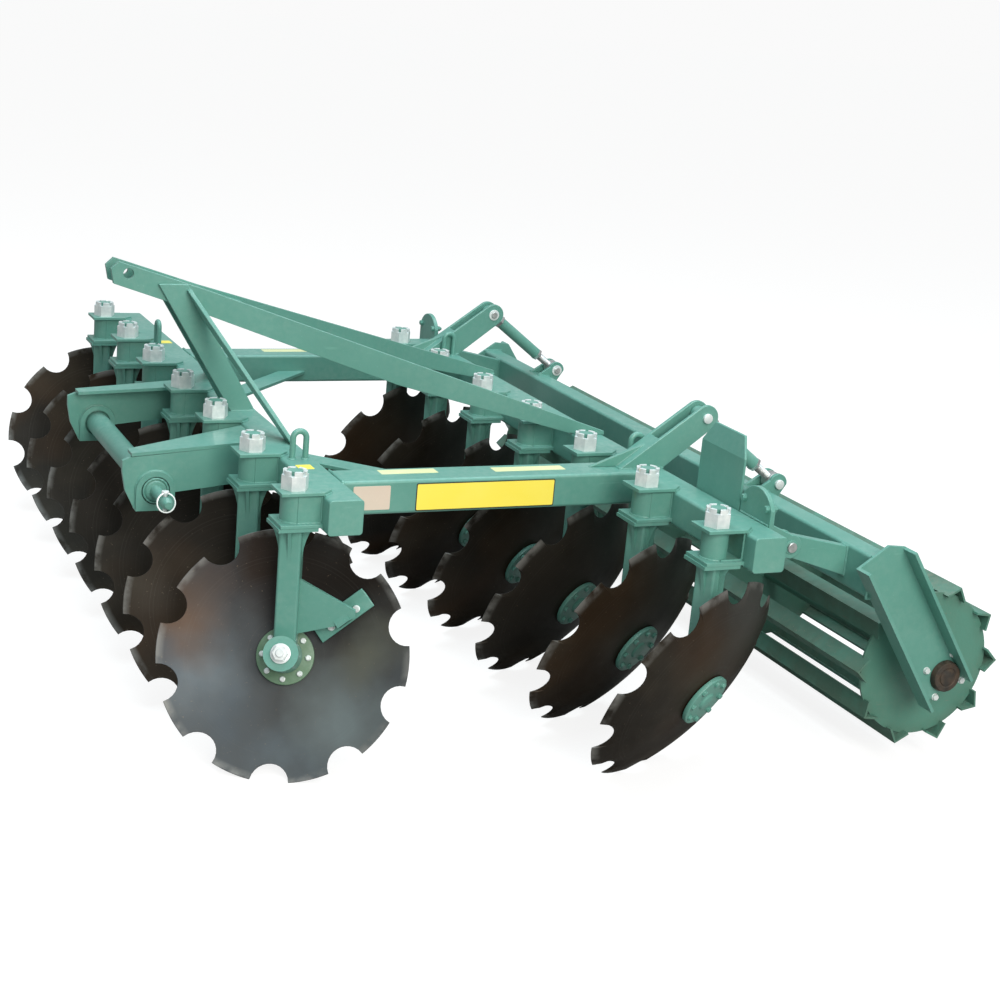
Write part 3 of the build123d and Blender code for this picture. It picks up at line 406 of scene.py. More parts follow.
def blotches(tree, scale, detail=4.0, low=0.4, high=0.6, offset=0.0, stretch=(1, 1, 1)):
    """Mask from noise on Object coordinates, spread from 0 at low to 1 at high."""
    place = object_place(tree, (offset, offset * 0.7, -offset), stretch)
    noise = node(tree, "ShaderNodeTexNoise", {"Vector": place}, Scale=scale, Detail=detail)
    return between(tree, noise.outputs["Fac"], low, high)


def mixed(tree, factor, first, second):
    """Colour between two, by a factor; each may be a value or a socket."""
    mix = tree.nodes.new("ShaderNodeMix")
    mix.data_type = "RGBA"
    for socket, value in ((mix.inputs[0], factor), (mix.inputs[6], first), (mix.inputs[7], second)):
        if isinstance(value, bpy.types.NodeSocket):
            tree.links.new(value, socket)
        else:
            socket.default_value = value
    return mix.outputs[2]


def maths(tree, operation, a, b=0.0):
    """Result of a sum, product or other operation on two values or sockets."""
    made = tree.nodes.new("ShaderNodeMath")
    made.operation = operation
    for socket, value in zip(made.inputs, (a, b)):
        if isinstance(value, bpy.types.NodeSocket):
            tree.links.new(value, socket)
        else:
            socket.default_value = value
    return made.outputs[0]


def times(tree, a, b):
    """Product of two values or sockets."""
    return maths(tree, "MULTIPLY", a, b)


def bumped(tree, shader, scale, detail, strength, distance):
    """Fine unevenness of the surface, from noise on Object coordinates."""
    height = blotches(tree, scale, detail, 0.2, 0.8)
    bump = node(tree, "ShaderNodeBump", {"Height": height}, Strength=strength, Distance=distance)
    tree.links.new(bump.outputs[0], shader.inputs["Normal"])


def length_of(tree, vector):
    """Length of a vector socket."""
    return node(tree, "ShaderNodeVectorMath", {0: vector}, operation="LENGTH").outputs["Value"]


def make_dust_group():
    """Dust: a colour covered by pale dust in soft blotches and on faces that look up."""
    tree = group(
        "Dust",
        [("Color", "NodeSocketColor", (0.5, 0.5, 0.5, 1)),
         ("Dust Color", "NodeSocketColor", (0.5, 0.5, 0.45, 1)),
         ("Amount", "NodeSocketFloat", 0.2)],
        [("Color", "NodeSocketColor"), ("Mask", "NodeSocketFloat")],
    )
    inside = tree.nodes["Group Input"]
    out = tree.nodes["Group Output"]
    shape = tree.nodes.new("ShaderNodeNewGeometry")
    parts = node(tree, "ShaderNodeSeparateXYZ", {0: shape.outputs["Normal"]})
    facing = between(tree, parts.outputs[2], -0.2, 1.0, 0.25)
    cloud = times(tree, blotches(tree, 6.0, 6.0, 0.30, 0.75), blotches(tree, 70.0, 8.0, 0.35, 0.70, 3.1))
    mask = times(tree, times(tree, facing, inside.outputs["Amount"]), cloud)
    colour = mixed(tree, mask, inside.outputs["Color"], inside.outputs["Dust Color"])
    tree.links.new(colour, out.inputs["Color"])
    tree.links.new(mask, out.inputs["Mask"])
    return tree


def make_scuff_group():
    """Scuffs: fine lengthwise scratches and small chips, as one mask between 0 and 1."""
    tree = group("Scuffs", [("Amount", "NodeSocketFloat", 0.5)], [("Mask", "NodeSocketFloat")])
    amount = tree.nodes["Group Input"].outputs["Amount"]
    chips = blotches(tree, 210.0, 2.0, 0.69, 0.73, 9.0)
    lines = blotches(tree, 46.0, 5.0, 0.66, 0.72, 4.0, (0.25, 0.25, 3.0))
    patch = blotches(tree, 8.0, 3.0, 0.52, 0.62, 1.0)
    mask = times(tree, maths(tree, "MAXIMUM", chips, times(tree, lines, patch)), amount)
    tree.links.new(mask, tree.nodes["Group Output"].inputs["Mask"])
    return tree


DUST = make_dust_group()
SCUFFS = make_scuff_group()


def new_material(name):
    """Material with a Principled shader, its tree and the shader node."""
    material = bpy.data.materials.new(name)
    material.use_nodes = True
    tree = material.node_tree
    return material, tree, tree.nodes["Principled BSDF"]


def dusted(tree, colour, dust_colour, amount):
    """Colour under the dust group."""
    dusty = node(tree, "ShaderNodeGroup", node_tree=DUST)
    tree.links.new(colour, dusty.inputs["Color"])
    dusty.inputs["Dust Color"].default_value = dust_colour
    dusty.inputs["Amount"].default_value = amount
    return dusty.outputs["Color"]


def scuffed(tree, colour, under, amount):
    """Colour with another showing through where it is scratched or chipped."""
    worn = node(tree, "ShaderNodeGroup", node_tree=SCUFFS)
    worn.inputs["Amount"].default_value = amount
    return mixed(tree, worn.outputs["Mask"], colour, under)


def paint(name, colour, deep, pale, rough=0.34, dust=0.35, bump=0.10, coat=0.25, scuff=0.45):
    """Machine paint: a colour with soft darker and paler patches, orange peel, chips, dust and a coat."""
    material, tree, shader = new_material(name)
    base = mixed(tree, times(tree, blotches(tree, 2.3, 3.0, 0.35, 0.7), 0.6), colour, deep)
    base = mixed(tree, times(tree, blotches(tree, 5.7, 5.0, 0.45, 0.8, 5.0), 0.4), base, pale)
    base = scuffed(tree, base, pale, scuff)
    tree.links.new(dusted(tree, base, (0.42, 0.52, 0.47, 1), dust), shader.inputs["Base Color"])
    gloss = between(tree, blotches(tree, 9.0, 6.0, 0.3, 0.7, 2.0), 0.0, 1.0, rough, rough + 0.18)
    tree.links.new(gloss, shader.inputs["Roughness"])
    bumped(tree, shader, 420.0, 2.0, bump, 0.0006)
    shader.inputs["Coat Weight"].default_value = coat
    shader.inputs["Coat Roughness"].default_value = 0.2
    return material


def metal(name, colour, other, rough, metallic=1.0, scale=14.0, bump=0.1, grain=320.0, dust=0.0):
    """Bare or plated metal: two tones in blotches, uneven gloss and a fine grain, under a little dust."""
    material, tree, shader = new_material(name)
    base = mixed(tree, blotches(tree, scale, 6.0, 0.35, 0.65), colour, other)
    tree.links.new(dusted(tree, base, (0.40, 0.36, 0.30, 1), dust), shader.inputs["Base Color"])
    gloss = between(tree, blotches(tree, scale * 2.2, 6.0, 0.3, 0.7, 4.0), 0.0, 1.0, rough, rough + 0.16)
    tree.links.new(gloss, shader.inputs["Roughness"])
    shader.inputs["Metallic"].default_value = metallic
    bumped(tree, shader, grain, 3.0, bump, 0.0004)
    return material


def patch(tree, place, centre, radius, softness):
    """Mask that is 1 near a centre and fades to 0 at a radius, on the disc's own coordinates."""
    from_centre = node(tree, "ShaderNodeVectorMath", {0: place}, operation="DISTANCE")
    from_centre.inputs[1].default_value = (*centre, 0)
    return between(tree, from_centre.outputs["Value"], radius, radius * (1 - softness))


def blued_steel(name, dark, slate, bronze, cloud, rough, light_and_shade_patches=()):
    """Heat-treated disc steel: a dark base with slate-blue, bronze and pale clouds, a bare ground rim,
    fine rings about the disc's own axis, and patches of painted shade and painted reflection laid over
    the base, each a centre on the disc, a radius, a colour and an amount."""
    material, tree, shader = new_material(name)
    own = node(tree, "ShaderNodeAttribute", attribute_name="own")
    parts = node(tree, "ShaderNodeSeparateXYZ", {0: own.outputs["Vector"]})
    flat = node(tree, "ShaderNodeCombineXYZ", {0: parts.outputs[0], 1: parts.outputs[1]})
    reach = length_of(tree, flat.outputs[0])
    base = mixed(tree, blotches(tree, 2.6, 4.0, 0.40, 0.60), dark, slate)
    base = mixed(tree, times(tree, blotches(tree, 1.9, 3.0, 0.48, 0.66, 6.0), 0.85), base, bronze)
    base = mixed(tree, times(tree, blotches(tree, 4.4, 5.0, 0.46, 0.70, 2.5), 0.7), base, cloud)
    shaken = node(tree, "ShaderNodeTexNoise", {"Vector": flat.outputs[0]}, Scale=7.0, Detail=4.0)
    centred = node(tree, "ShaderNodeVectorMath", {0: shaken.outputs["Color"]}, operation="SUBTRACT")
    centred.inputs[1].default_value = (0.5, 0.5, 0.5)
    small = node(tree, "ShaderNodeVectorMath", {0: centred.outputs[0]}, operation="MULTIPLY")
    small.inputs[1].default_value = (0.16, 0.16, 0)
    place = node(tree, "ShaderNodeVectorMath", {0: flat.outputs[0], 1: small.outputs[0]}).outputs[0]
    # Painted shade and painted reflection: each patch lays its colour over the steel near a centre on the disc's
    # own axes.
    for centre, radius, colour, amount in light_and_shade_patches:
        mask = times(tree, patch(tree, place, centre, radius, 0.8), amount)
        base = mixed(tree, mask, base, colour)
    rings = node(tree, "ShaderNodeCombineXYZ", {0: times(tree, reach, 260.0)})
    lines = node(tree, "ShaderNodeTexNoise", {"Vector": rings.outputs[0]}, Scale=1.0, Detail=3.0)
    faint = between(tree, lines.outputs["Fac"], 0.55, 0.75, 0.0, 0.25)
    base = mixed(tree, faint, base, (0.105, 0.100, 0.092, 1))
    speck = blotches(tree, 190.0, 3.0, 0.69, 0.74, 8.0)
    base = mixed(tree, times(tree, speck, 0.4), base, (0.22, 0.17, 0.12, 1))
    rim = times(tree, between(tree, reach, 0.262, 0.276), blotches(tree, 26.0, 5.0, 0.36, 0.60, 7.0))
    base = mixed(tree, times(tree, rim, 0.75), base, (0.20, 0.20, 0.19, 1))
    tree.links.new(base, shader.inputs["Base Color"])
    shader.inputs["Metallic"].default_value = 0.3
    shader.inputs["Specular IOR Level"].default_value = 0.25
    gloss = between(tree, blotches(tree, 7.0, 7.0, 0.3, 0.7, 4.0), 0.0, 1.0, rough, rough + 0.2)
    tree.links.new(gloss, shader.inputs["Roughness"])
    bumped(tree, shader, 150.0, 6.0, 0.08, 0.0005)
    return material


def drum_paint(name):
    """Roller paint: teal, dulled by soil and wear towards the bars' tips."""
    material, tree, shader = new_material(name)
    place = node(tree, "ShaderNodeSeparateXYZ", {0: object_place(tree, (-DRUM[0], 0, -DRUM[1]))})
    level = node(tree, "ShaderNodeCombineXYZ", {0: place.outputs[0], 2: place.outputs[2]})
    reach = length_of(tree, level.outputs[0])
    shade = blotches(tree, 3.1, 4.0, 0.4, 0.65)
    base = mixed(tree, shade, (0.082, 0.235, 0.180, 1), (0.058, 0.170, 0.126, 1))
    soil = times(tree, between(tree, reach, 0.150, 0.200), blotches(tree, 15.0, 6.0, 0.34, 0.56, 5.0))
    base = mixed(tree, times(tree, soil, 0.40), base, (0.085, 0.085, 0.060, 1))
    base = scuffed(tree, base, (0.20, 0.19, 0.16, 1), 0.6)
    tree.links.new(dusted(tree, base, (0.24, 0.22, 0.17, 1), 0.4), shader.inputs["Base Color"])
    tree.links.new(between(tree, soil, 0.0, 1.0, 0.42, 0.70), shader.inputs["Roughness"])
    bumped(tree, shader, 120.0, 6.0, 0.2, 0.0008)
    return material


TEAL = paint("teal paint", (0.102, 0.300, 0.246, 1), (0.075, 0.240, 0.194, 1), (0.155, 0.380, 0.320, 1))
WELD = paint(
    "painted weld", (0.108, 0.315, 0.260, 1), (0.075, 0.235, 0.190, 1), (0.165, 0.400, 0.345, 1),
    rough=0.30, dust=0.2, bump=0.3,
)
OLIVE = paint(
    "olive flange paint", (0.100, 0.200, 0.115, 1), (0.070, 0.150, 0.085, 1), (0.17, 0.27, 0.17, 1),
    rough=0.42, dust=0.4,
)
LIT_DISC_STEEL = blued_steel(
    "blued disc steel with painted light",
    dark=(0.060, 0.068, 0.072, 1),
    slate=(0.062, 0.084, 0.104, 1),
    bronze=(0.056, 0.050, 0.042, 1),
    cloud=(0.092, 0.114, 0.126, 1),
    rough=0.42,
    # Painted shade in the dark brown patches over the upper part of the blade and at one side; painted reflection
    # in the pale slate patch low down and the grey patch at the other side.
    light_and_shade_patches=(
        ((-0.05, 0.22), 0.27, (0.024, 0.014, 0.009, 1), 0.95),
        ((0.14, 0.20), 0.20, (0.010, 0.007, 0.005, 1), 0.95),
        ((-0.24, 0.07), 0.14, (0.085, 0.048, 0.028, 1), 0.85),
        ((0.15, -0.13), 0.15, (0.150, 0.185, 0.190, 1), 0.8),
        ((0.19, 0.02), 0.10, (0.120, 0.125, 0.095, 1), 0.6),
    ),
)
# Copy of the disc steel made near black as painted shade, for every blade but the nearest.
SHADED_DISC_STEEL = blued_steel(
    "disc steel darkened as painted shade",
    dark=(0.010, 0.007, 0.004, 1),
    slate=(0.020, 0.017, 0.013, 1),
    bronze=(0.054, 0.029, 0.013, 1),
    cloud=(0.040, 0.033, 0.023, 1),
    rough=0.42,
    # Painted reflection: a paler grey patch low on the blade.
    light_and_shade_patches=(((0.08, -0.24), 0.20, (0.070, 0.070, 0.066, 1), 0.7),),
)
DRUM_PAINT = drum_paint("worn roller paint")
PLATED = metal(
    "bright zinc plate", (0.82, 0.87, 0.87, 1), (0.66, 0.73, 0.74, 1),
    rough=0.28, metallic=0.35, scale=60.0, bump=0.12,
)
ZINC = metal(
    "dull zinc plate", (0.60, 0.62, 0.62, 1), (0.42, 0.44, 0.44, 1),
    rough=0.32, metallic=0.85, scale=60.0, bump=0.15, dust=0.3,
)
RUSTY = metal(
    "rusted casting", (0.070, 0.045, 0.028, 1), (0.030, 0.026, 0.022, 1),
    rough=0.62, metallic=0.2, scale=45.0, bump=0.5, grain=150.0, dust=0.3,
)
BLACK = metal(
    "black border", (0.022, 0.022, 0.021, 1), (0.035, 0.034, 0.030, 1),
    rough=0.5, metallic=0.0, scale=25.0,
)
YELLOW = paint(
    "yellow label", (0.94, 0.80, 0.10, 1), (0.90, 0.72, 0.06, 1), (0.95, 0.86, 0.22, 1),
    rough=0.4, dust=0.05, bump=0.03, coat=0.4, scuff=0.3,
)
CREAM = paint(
    "cream plate", (0.66, 0.55, 0.45, 1), (0.58, 0.42, 0.35, 1), (0.78, 0.70, 0.58, 1),
    rough=0.42, dust=0.2, bump=0.03, coat=0.3, scuff=0.3,
)
PALE = paint(
    "pale yellow strip", (0.72, 0.74, 0.40, 1), (0.62, 0.62, 0.30, 1), (0.82, 0.84, 0.56, 1),
    rough=0.42, dust=0.3, bump=0.03, coat=0.3, scuff=0.3,
)


# The CAD nodes, finished

def finish_nodes():
    """Softens every painted and plated node; discs and turnbuckle rods get pieces of their own, and
    the drum's thin bars keep their plain mesh."""
    bodies = frame["record"]["behaviour"]["bodies"]
    body_of = {name: body for body, names in bodies.items() for name in names}
    for entry in frame["record"]["subparts"]:
        name, slot = entry["node"], entry["material_slot"]
        if slot == "blued_steel" or name.startswith("turnbuckle_rod"):
            continue
        if name == "roller_drum":
            for one in frame["nodes"][name].material_slots:
                one.material = DRUM_PAINT
            continue
        material = TEAL if slot == "teal_paint" else ZINC
        if name.endswith("_nuts"):
            material = PLATED
        softened(name, material, body_of[name])


# Discs

def notched_rim():
    """Angles and rim radii: a circle, cut at each notch by a smaller circle centred near the rim.
    With R, c and n the two radii and the notch's centre distance, a notch spans acos((R^2 + c^2 -
    n^2) / 2Rc) to each side, and its radius is c cos a - sqrt(n^2 - c^2 sin^2 a)."""
    squares = BLADE_RADIUS ** 2 + NOTCH_CENTRE ** 2 - NOTCH_RADIUS ** 2
    cut = np.arccos(squares / (2 * BLADE_RADIUS * NOTCH_CENTRE))
    step = 2 * pi / NOTCH_COUNT
    inside = cut * np.sin(np.linspace(-pi / 2, pi / 2, 13))
    beside = np.linspace(cut, step - cut, 8)[1:-1]
    one = np.concatenate([inside, beside])
    bite = np.sqrt(np.maximum(NOTCH_RADIUS ** 2 - (NOTCH_CENTRE * np.sin(inside)) ** 2, 0))
    whole = np.full(len(beside), BLADE_RADIUS)
    radii = np.concatenate([NOTCH_CENTRE * np.cos(inside) - bite, whole])
    radii[[0, len(inside) - 1]] = BLADE_RADIUS
    angles = np.concatenate([one + k * step for k in range(NOTCH_COUNT)]) - pi / 2
    return angles, np.tile(radii, NOTCH_COUNT)


def hollow(radius):
    """Height of the blade's hollow side at a radius: vertex + R - sqrt(R^2 - r^2)."""
    return VERTEX + SPHERE - np.sqrt(SPHERE ** 2 - radius ** 2)


def blade_surface():
    """Dish: both faces are spheres about one centre, bevelled on the back rim."""
    angles, rim = notched_rim()
    share = np.linspace(0, 1, 12)[:, None] ** 0.8
    front_r = np.vstack([BLADE_INNER + (rim - 0.005 - BLADE_INNER) * share, rim - 0.0012])
    front_z = hollow(front_r)
    bevel_r = rim - BEVEL_WIDTH
    within = BLADE_INNER + (bevel_r - BLADE_INNER) * share[::-1][1:]
    back_r = np.vstack([rim[None], bevel_r[None], within])
    back_z = VERTEX + SPHERE - np.sqrt((SPHERE + BLADE_THICK) ** 2 - back_r ** 2)
    back_z[0] = hollow(rim) - 0.002
    radii = np.vstack([front_r, back_r])
    heights = np.vstack([front_z, back_z])
    points = np.stack([radii * np.cos(angles), radii * np.sin(angles), heights], -1)
    return grid(points, wrap_rows=True, wrap_cols=True)


def hex_bolt(flats, height):
    """Bolt head with a chamfered top on a washer, its seat at height 0."""
    half = flats / 2
    outline = [(0, 0), (half, 0), (half, height * 0.82), (half * 0.86, height), (0, height)]
    washer = turned(rounded_profile(flats * 0.62, -0.0005, 0.0022, 0.0006), 20)
    return join([washer, faceted(outline, 6)])


def bolt_circle(item, height, facing):
    """Copies of a surface on the flange's bolt circle at a height, facing up (1) or down (-1)."""
    turns = np.arange(FLANGE_BOLTS) * 2 * pi / FLANGE_BOLTS
    spokes = [np.array([cos(t), sin(t), 0]) for t in turns]
    lift = np.array([0, 0, height])
    return join(placed(item, FLANGE_BOLT_CIRCLE * one + lift, one, (0, 0, facing)) for one in spokes)


def disc_parts():
    """Surfaces of one disc about its own axis: (label, surface, material)."""
    face = VERTEX + FLANGE_THICK
    back = VERTEX - BLADE_THICK - COVER_THICK
    flange = turned(rounded_profile(FLANGE_RADIUS, VERTEX - 0.001, face, 0.0015), 48)
    cover = turned(rounded_profile(FLANGE_RADIUS, back, VERTEX - BLADE_THICK + 0.001, 0.002), 48)
    foot = back + 0.0005
    bulge = [(0, back - 0.0070), (0.012, back - 0.0066), (0.020, back - 0.0042), (0.024, foot), (0, foot)]
    dome = turned(bulge, 32)
    bolts = bolt_circle(hex_bolt(*FLANGE_BOLT), face, 1)
    cover_nuts = bolt_circle(hex_bolt(*COVER_NUT), back, -1)
    tip = HUB_END + 0.0205
    shaft = turned([
        (0, face), (AXLE_RADIUS, face), (AXLE_RADIUS, HUB_END + 0.001), (0.0095, HUB_END + 0.002),
        (0.0095, tip - 0.002), (0.0080, tip), (0, tip),
    ], 32)
    seat = HUB_END + 0.0045
    top = seat + 0.0123
    washer = turned(rounded_profile(0.0225, HUB_END + 0.0012, seat, 0.0006), 32)
    nut = faceted([(0, seat), (0.016, seat), (0.016, top - 0.0018), (0.014, top), (0, top)], 6)
    return (
        ("blade", blade_surface(), SHADED_DISC_STEEL),
        ("cover", join([cover, dome, cover_nuts]), TEAL),
        ("flange", flange, OLIVE),
        ("bolts", join([bolts, washer, nut, shaft]), PLATED),
    )


def disc_axes(joint):
    """Axis and level direction of a disc, and the direction across both, mirrored at the rear."""
    axis = np.array(joint["axis"], float)
    hand = 1 if axis[1] > 0 else -1
    level = np.array([-axis[1], axis[0], 0.0]) * hand
    level /= np.linalg.norm(level)
    return axis, level, np.cross(axis, level) * hand


def make_discs():
    """Puts the disc's pieces on every disc joint, turned to that joint's axis. The nearest disc in
    the photograph is the bluest."""
    parts = disc_parts()
    for joint in DISC_JOINTS:
        body = joint["child"]
        axis, level, _ = disc_axes(joint)
        for kind, surface, material in parts:
            here = placed(surface, joint["pos_m"], level, axis)
            if kind != "blade":
                piece(f"{body}_{kind}", here, material, body)
                continue
            # The nearest blade takes the lit copy of the disc steel; the others keep the copy darkened as painted
            # shade.
            if body == "front_disc_7":
                material = LIT_DISC_STEEL
            made = piece(f"{body}_blade", here, material, body, own=surface[0])
            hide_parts(body)


# Standards: threads, scraper bolts and welds

def scraper_seats(joint):
    """Places, x directions and normals of the two bolts on one disc's scraper blade. The blade is a
    plate that touches the sphere of the disc's hollow side at SCRAPER_REACH."""
    axis, level, up = disc_axes(joint)
    lean = atan2(SCRAPER_REACH, sqrt(SPHERE ** 2 - SCRAPER_REACH ** 2))
    out = level * cos(SCRAPER_ANGLE) + up * sin(SCRAPER_ANGLE)
    lift = hollow(SCRAPER_REACH) + SCRAPER_FACE - 0.006
    seat = np.array(joint["pos_m"]) + out * SCRAPER_REACH + axis * lift
    normal = axis * cos(lean) - out * sin(lean)
    run = out * cos(lean) + axis * sin(lean)
    across = np.cross(normal, run) * (1 if axis[1] > 0 else -1)
    face = seat - across * 0.007 + normal * 0.006
    return [(face + run * step, run, normal) for step in (-SCRAPER_BOLT_STEP, SCRAPER_BOLT_STEP)]


def make_standard_fittings():
    """Painted thread ends in the castle nuts, and bolts on the scrapers."""
    nut_top = NUT_BASE + NUT_HEIGHT
    thread_end = threaded(THREAD_RADIUS, nut_top - 0.014, nut_top - 0.001)
    bolt = hex_bolt(*SCRAPER_BOLT)
    threads, bolts = [], []
    for joint in DISC_JOINTS:
        x, y, _ = joint["pos_m"]
        threads.append(placed(thread_end, (x, y, 0)))
        bolts += [placed(bolt, *seat) for seat in scraper_seats(joint)]
    piece("standard_threads", join(threads), TEAL, "harrow_frame")
    piece("scraper_bolts", join(bolts), PLATED, "harrow_frame")


def make_bracket_welds():
    """Beads round each bracket's plate, sleeve and cheeks, and round the post under its plate."""
    beads = []
    for joint in DISC_JOINTS:
        x, y, _ = joint["pos_m"]
        face = x - BRACKET_REACH
        _, level, _ = disc_axes(joint)
        low = BRACKET_LOW + BRACKET_PLATE
        edge = [(-0.002, 0.041), (-0.026, 0.017), (-0.026, -0.017), (-0.002, -0.041)]
        beads.append(bead([(face + dx, y + dy, TOP) for dx, dy in edge]))
        for height in (TOP - 0.001, low):
            beads.append(bead(arc((x, y), SLEEVE_RADIUS, -80, 80, height)))
        for side in (1, -1):
            cheek = y + side * CHEEK_FACE
            for height in (TOP - 0.001, low):
                beads.append(bead([(face, cheek, height), (x, cheek, height)], 0.0026))
            beads.append(bead([(face, cheek, low), (face, cheek, TOP)], 0.0030))
        beads.append(bead([(face, y - 0.045, BRACKET_LOW), (face, y + 0.045, BRACKET_LOW)], 0.0030))
        square = rounded_outline(0.050, 0.050, 0.006)
        flat = np.column_stack([square, np.zeros(len(square))])
        post, _ = placed((flat, None), (x, y, BRACKET_LOW - BRACKET_PLATE), level)
        beads.append(bead(post, 0.0028, True))
    piece("bracket_welds", join(beads), WELD, "harrow_frame", 60)


def box_ring(x, ys, zs):
    """Corners of an upright rectangle at one x."""
    return [(x, ys[0], zs[0]), (x, ys[1], zs[0]), (x, ys[1], zs[1]), (x, ys[0], zs[1])]


def make_frame_welds():
    """Beads where rails, hitch arms, mast, hinge plates, link brackets and eyes meet the beams."""
    beads = []
    for side in (1, -1):
        rail = (side * RAIL[0][1], side * RAIL[1][1])
        for x in (RAIL[0][0], RAIL[1][0]):
            beads.append(bead(box_ring(x, rail, (UNDER + 0.001, TOP - 0.001)), 0.0038, True))
        front = FRONT_BEAM[1][0]
        for y in HITCH_ARM_FACES:
            beads.append(bead([(front, side * y, TOP - 0.100), (front, side * y, TOP - 0.012)], 0.0036))
        for y in HITCH_ARM_FACES:
            beads.append(ring_bead(side * y, 0.046, 0.0030))
        beads.append(ring_bead(side * HITCH_PIN_SHOULDER, 0.029, 0.0026))
        for ends, y in ((MAST_FOOT, MAST_HALF), (MAST_TAIL, MAST_TAIL_Y)):
            beads.append(bead([(x, side * y, TOP) for x in ends], 0.0034))
        behind, ahead = LINK_BRACKET
        inner, outer = LINK_PLATES
        foot = [(behind, inner), (ahead, inner), (ahead, outer), (behind, outer)]
        beads.append(bead([(x, side * y, TOP) for x, y in foot], 0.0034))
    back = REAR_BEAM[0][0]
    for y in HINGE_YS:
        for edge in (y - HINGE_PLATE_HALF, y + HINGE_PLATE_HALF):
            if REAR_BEAM[0][1] < edge < REAR_BEAM[1][1]:
                beads.append(bead([(back, edge, UNDER + 0.008), (back, edge, TOP - 0.004)], 0.0034))
        ends = (max(y - 0.058, REAR_BEAM[0][1]), min(y + 0.058, REAR_BEAM[1][1]))
        beads.append(bead([(back, ends[0], TOP), (back, ends[1], TOP)], 0.0034))
    for x, y, across in LIFTING_EYES:
        for step in (-0.016, 0.016):
            leg = (x + across[0] * step, y + across[1] * step)
            beads.append(bead(arc(leg, 0.0085, 0, 330, TOP, 12), 0.0026))
    piece("frame_welds", join(beads), WELD, "harrow_frame", 60)


def make_roller_welds():
    """Beads where the cross tube meets the arms, hinge arms and link lugs."""
    beads = []
    for side, web in WEB_YS:
        inner = web - side * 0.008
        tube = (
            (TUBE_BACK, TUBE_LOW), (TUBE_FRONT, TUBE_LOW),
            (TUBE_FRONT, TUBE_TOP), (TUBE_BACK, TUBE_TOP),
        )
        beads.append(bead([(x, inner, z) for x, z in tube], 0.0036, True))
    for y in HINGE_YS:
        arm = (y - HINGE_ARM_HALF, y + HINGE_ARM_HALF)
        beads.append(bead(box_ring(TUBE_FRONT, arm, (TOP - 0.144, TOP - 0.074)), 0.0036, True))
    for side in (1, -1):
        for y in LINK_PLATES:
            lug = [(TUBE_BACK, TOP - 0.106), (TUBE_BACK, TOP - 0.070), (-0.560, TUBE_TOP)]
            beads.append(bead([(x, side * y, z) for x, z in lug]))
    piece("roller_welds", join(beads), WELD, "roller_frame", 60)


# Hitch, hinges, links and roller

def make_linch_pins():
    """Upright pins with a flat head in the hitch pins' ends, each with its ring round the shaft."""
    items = []
    for side in (1, -1):
        y = side * LINCH_PIN_Y
        pin = turned(rounded_profile(0.0048, -0.024, 0.020, 0.0015), 16)
        head = turned(rounded_profile(0.009, 0.018, 0.026, 0.002), 20)
        items.append(placed(join([pin, head]), (SHAFT_X, y, SHAFT_Z)))
        t = np.linspace(0, 2 * pi, 40, endpoint=False)
        tilt = side * (0.0105 - 0.0055 * np.cos(t))
        loop = np.stack([SHAFT_X + 0.021 * np.sin(t), y + tilt, SHAFT_Z + 0.0215 * np.cos(t)], -1)
        items.append(swept(loop, 0.0021, 10, True))
    piece("linch_pins", join(items), PLATED, "harrow_frame")


def make_pin_heads():
    """Round heads and washers on the link pins, painted washers on the hinge pins."""
    outline = [(0, 0), (0.0120, 0), (0.0125, 0.0062), (0.0115, 0.0080), (0.0065, 0.0092), (0, 0.0095)]
    head = turned(outline, 28)
    washer = turned(rounded_profile(0.0165, -0.0005, 0.0024, 0.0007), 24)
    on_frame, on_roller = [], []
    for side in (1, -1):
        inner, outer = (side * y for y in LINK_PLATES)
        for (x, z), items in ((LINK_TOP, on_frame), (LINK_LOW, on_roller)):
            items.append(placed(head, (x, outer, z), (1, 0, 0), (0, side, 0)))
            items.append(placed(washer, (x, inner, z), (1, 0, 0), (0, -side, 0)))
    hinge_washers = [
        placed(washer, (HINGE_PIVOT[0], y + side * 0.024, HINGE_PIVOT[1]), (1, 0, 0), (0, side, 0))
        for y in HINGE_YS for side in (1, -1)
    ]
    piece("hinge_washers", join(hinge_washers), TEAL, "harrow_frame")
    piece("frame_pin_heads", join(on_frame), PLATED, "harrow_frame")
    piece("roller_pin_heads", join(on_roller), PLATED, "roller_frame")


def make_turnbuckles():
    """Threaded rods with their eyes, and lock nuts on both ends of the sleeves."""
    run = np.array([LINK_LOW[0] - LINK_TOP[0], 0, LINK_LOW[1] - LINK_TOP[1]])
    length = np.linalg.norm(run)
    run /= length
    for side, label in ((1, "left"), (-1, "right")):
        top = (LINK_TOP[0], side * LINK_Y, LINK_TOP[1])
        low = (LINK_LOW[0], side * LINK_Y, LINK_LOW[1])
        rod = placed(threaded(0.011, 0.115, length - 0.014, 0.003, 0.0014, 24), top, (0, 1, 0), run)
        eye = ring([
            (0.0130, -0.0155), (0.0145, -0.0170), (0.0225, -0.0170), (0.0240, -0.0155),
            (0.0240, 0.0155), (0.0225, 0.0170), (0.0145, 0.0170), (0.0130, 0.0155),
        ], 36)
        lower = join([rod, placed(eye, low, (1, 0, 0), (0, 1, 0))])
        made = piece(f"turnbuckle_rod_{label}_thread", lower, ZINC, f"link_rod_{label}")
        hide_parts(f"turnbuckle_rod_{label}")
        upper = threaded(0.0125, 0.020, 0.046, 0.003, 0.0014, 24)
        nut = faceted([(0, 0.036), (0.0170, 0.036), (0.0185, 0.0375), (0.0185, 0.0455), (0, 0.0455)], 6)
        collar = ring([
            (0.0135, 0.2105), (0.0195, 0.2105), (0.0195, 0.2180), (0.0175, 0.2200), (0.0135, 0.2200),
        ], 6)
        items = [placed(one, top, (0, 1, 0), run) for one in (upper, nut, collar)]
        piece(f"lock_nuts_{label}", join(items), ZINC, f"link_{label}")


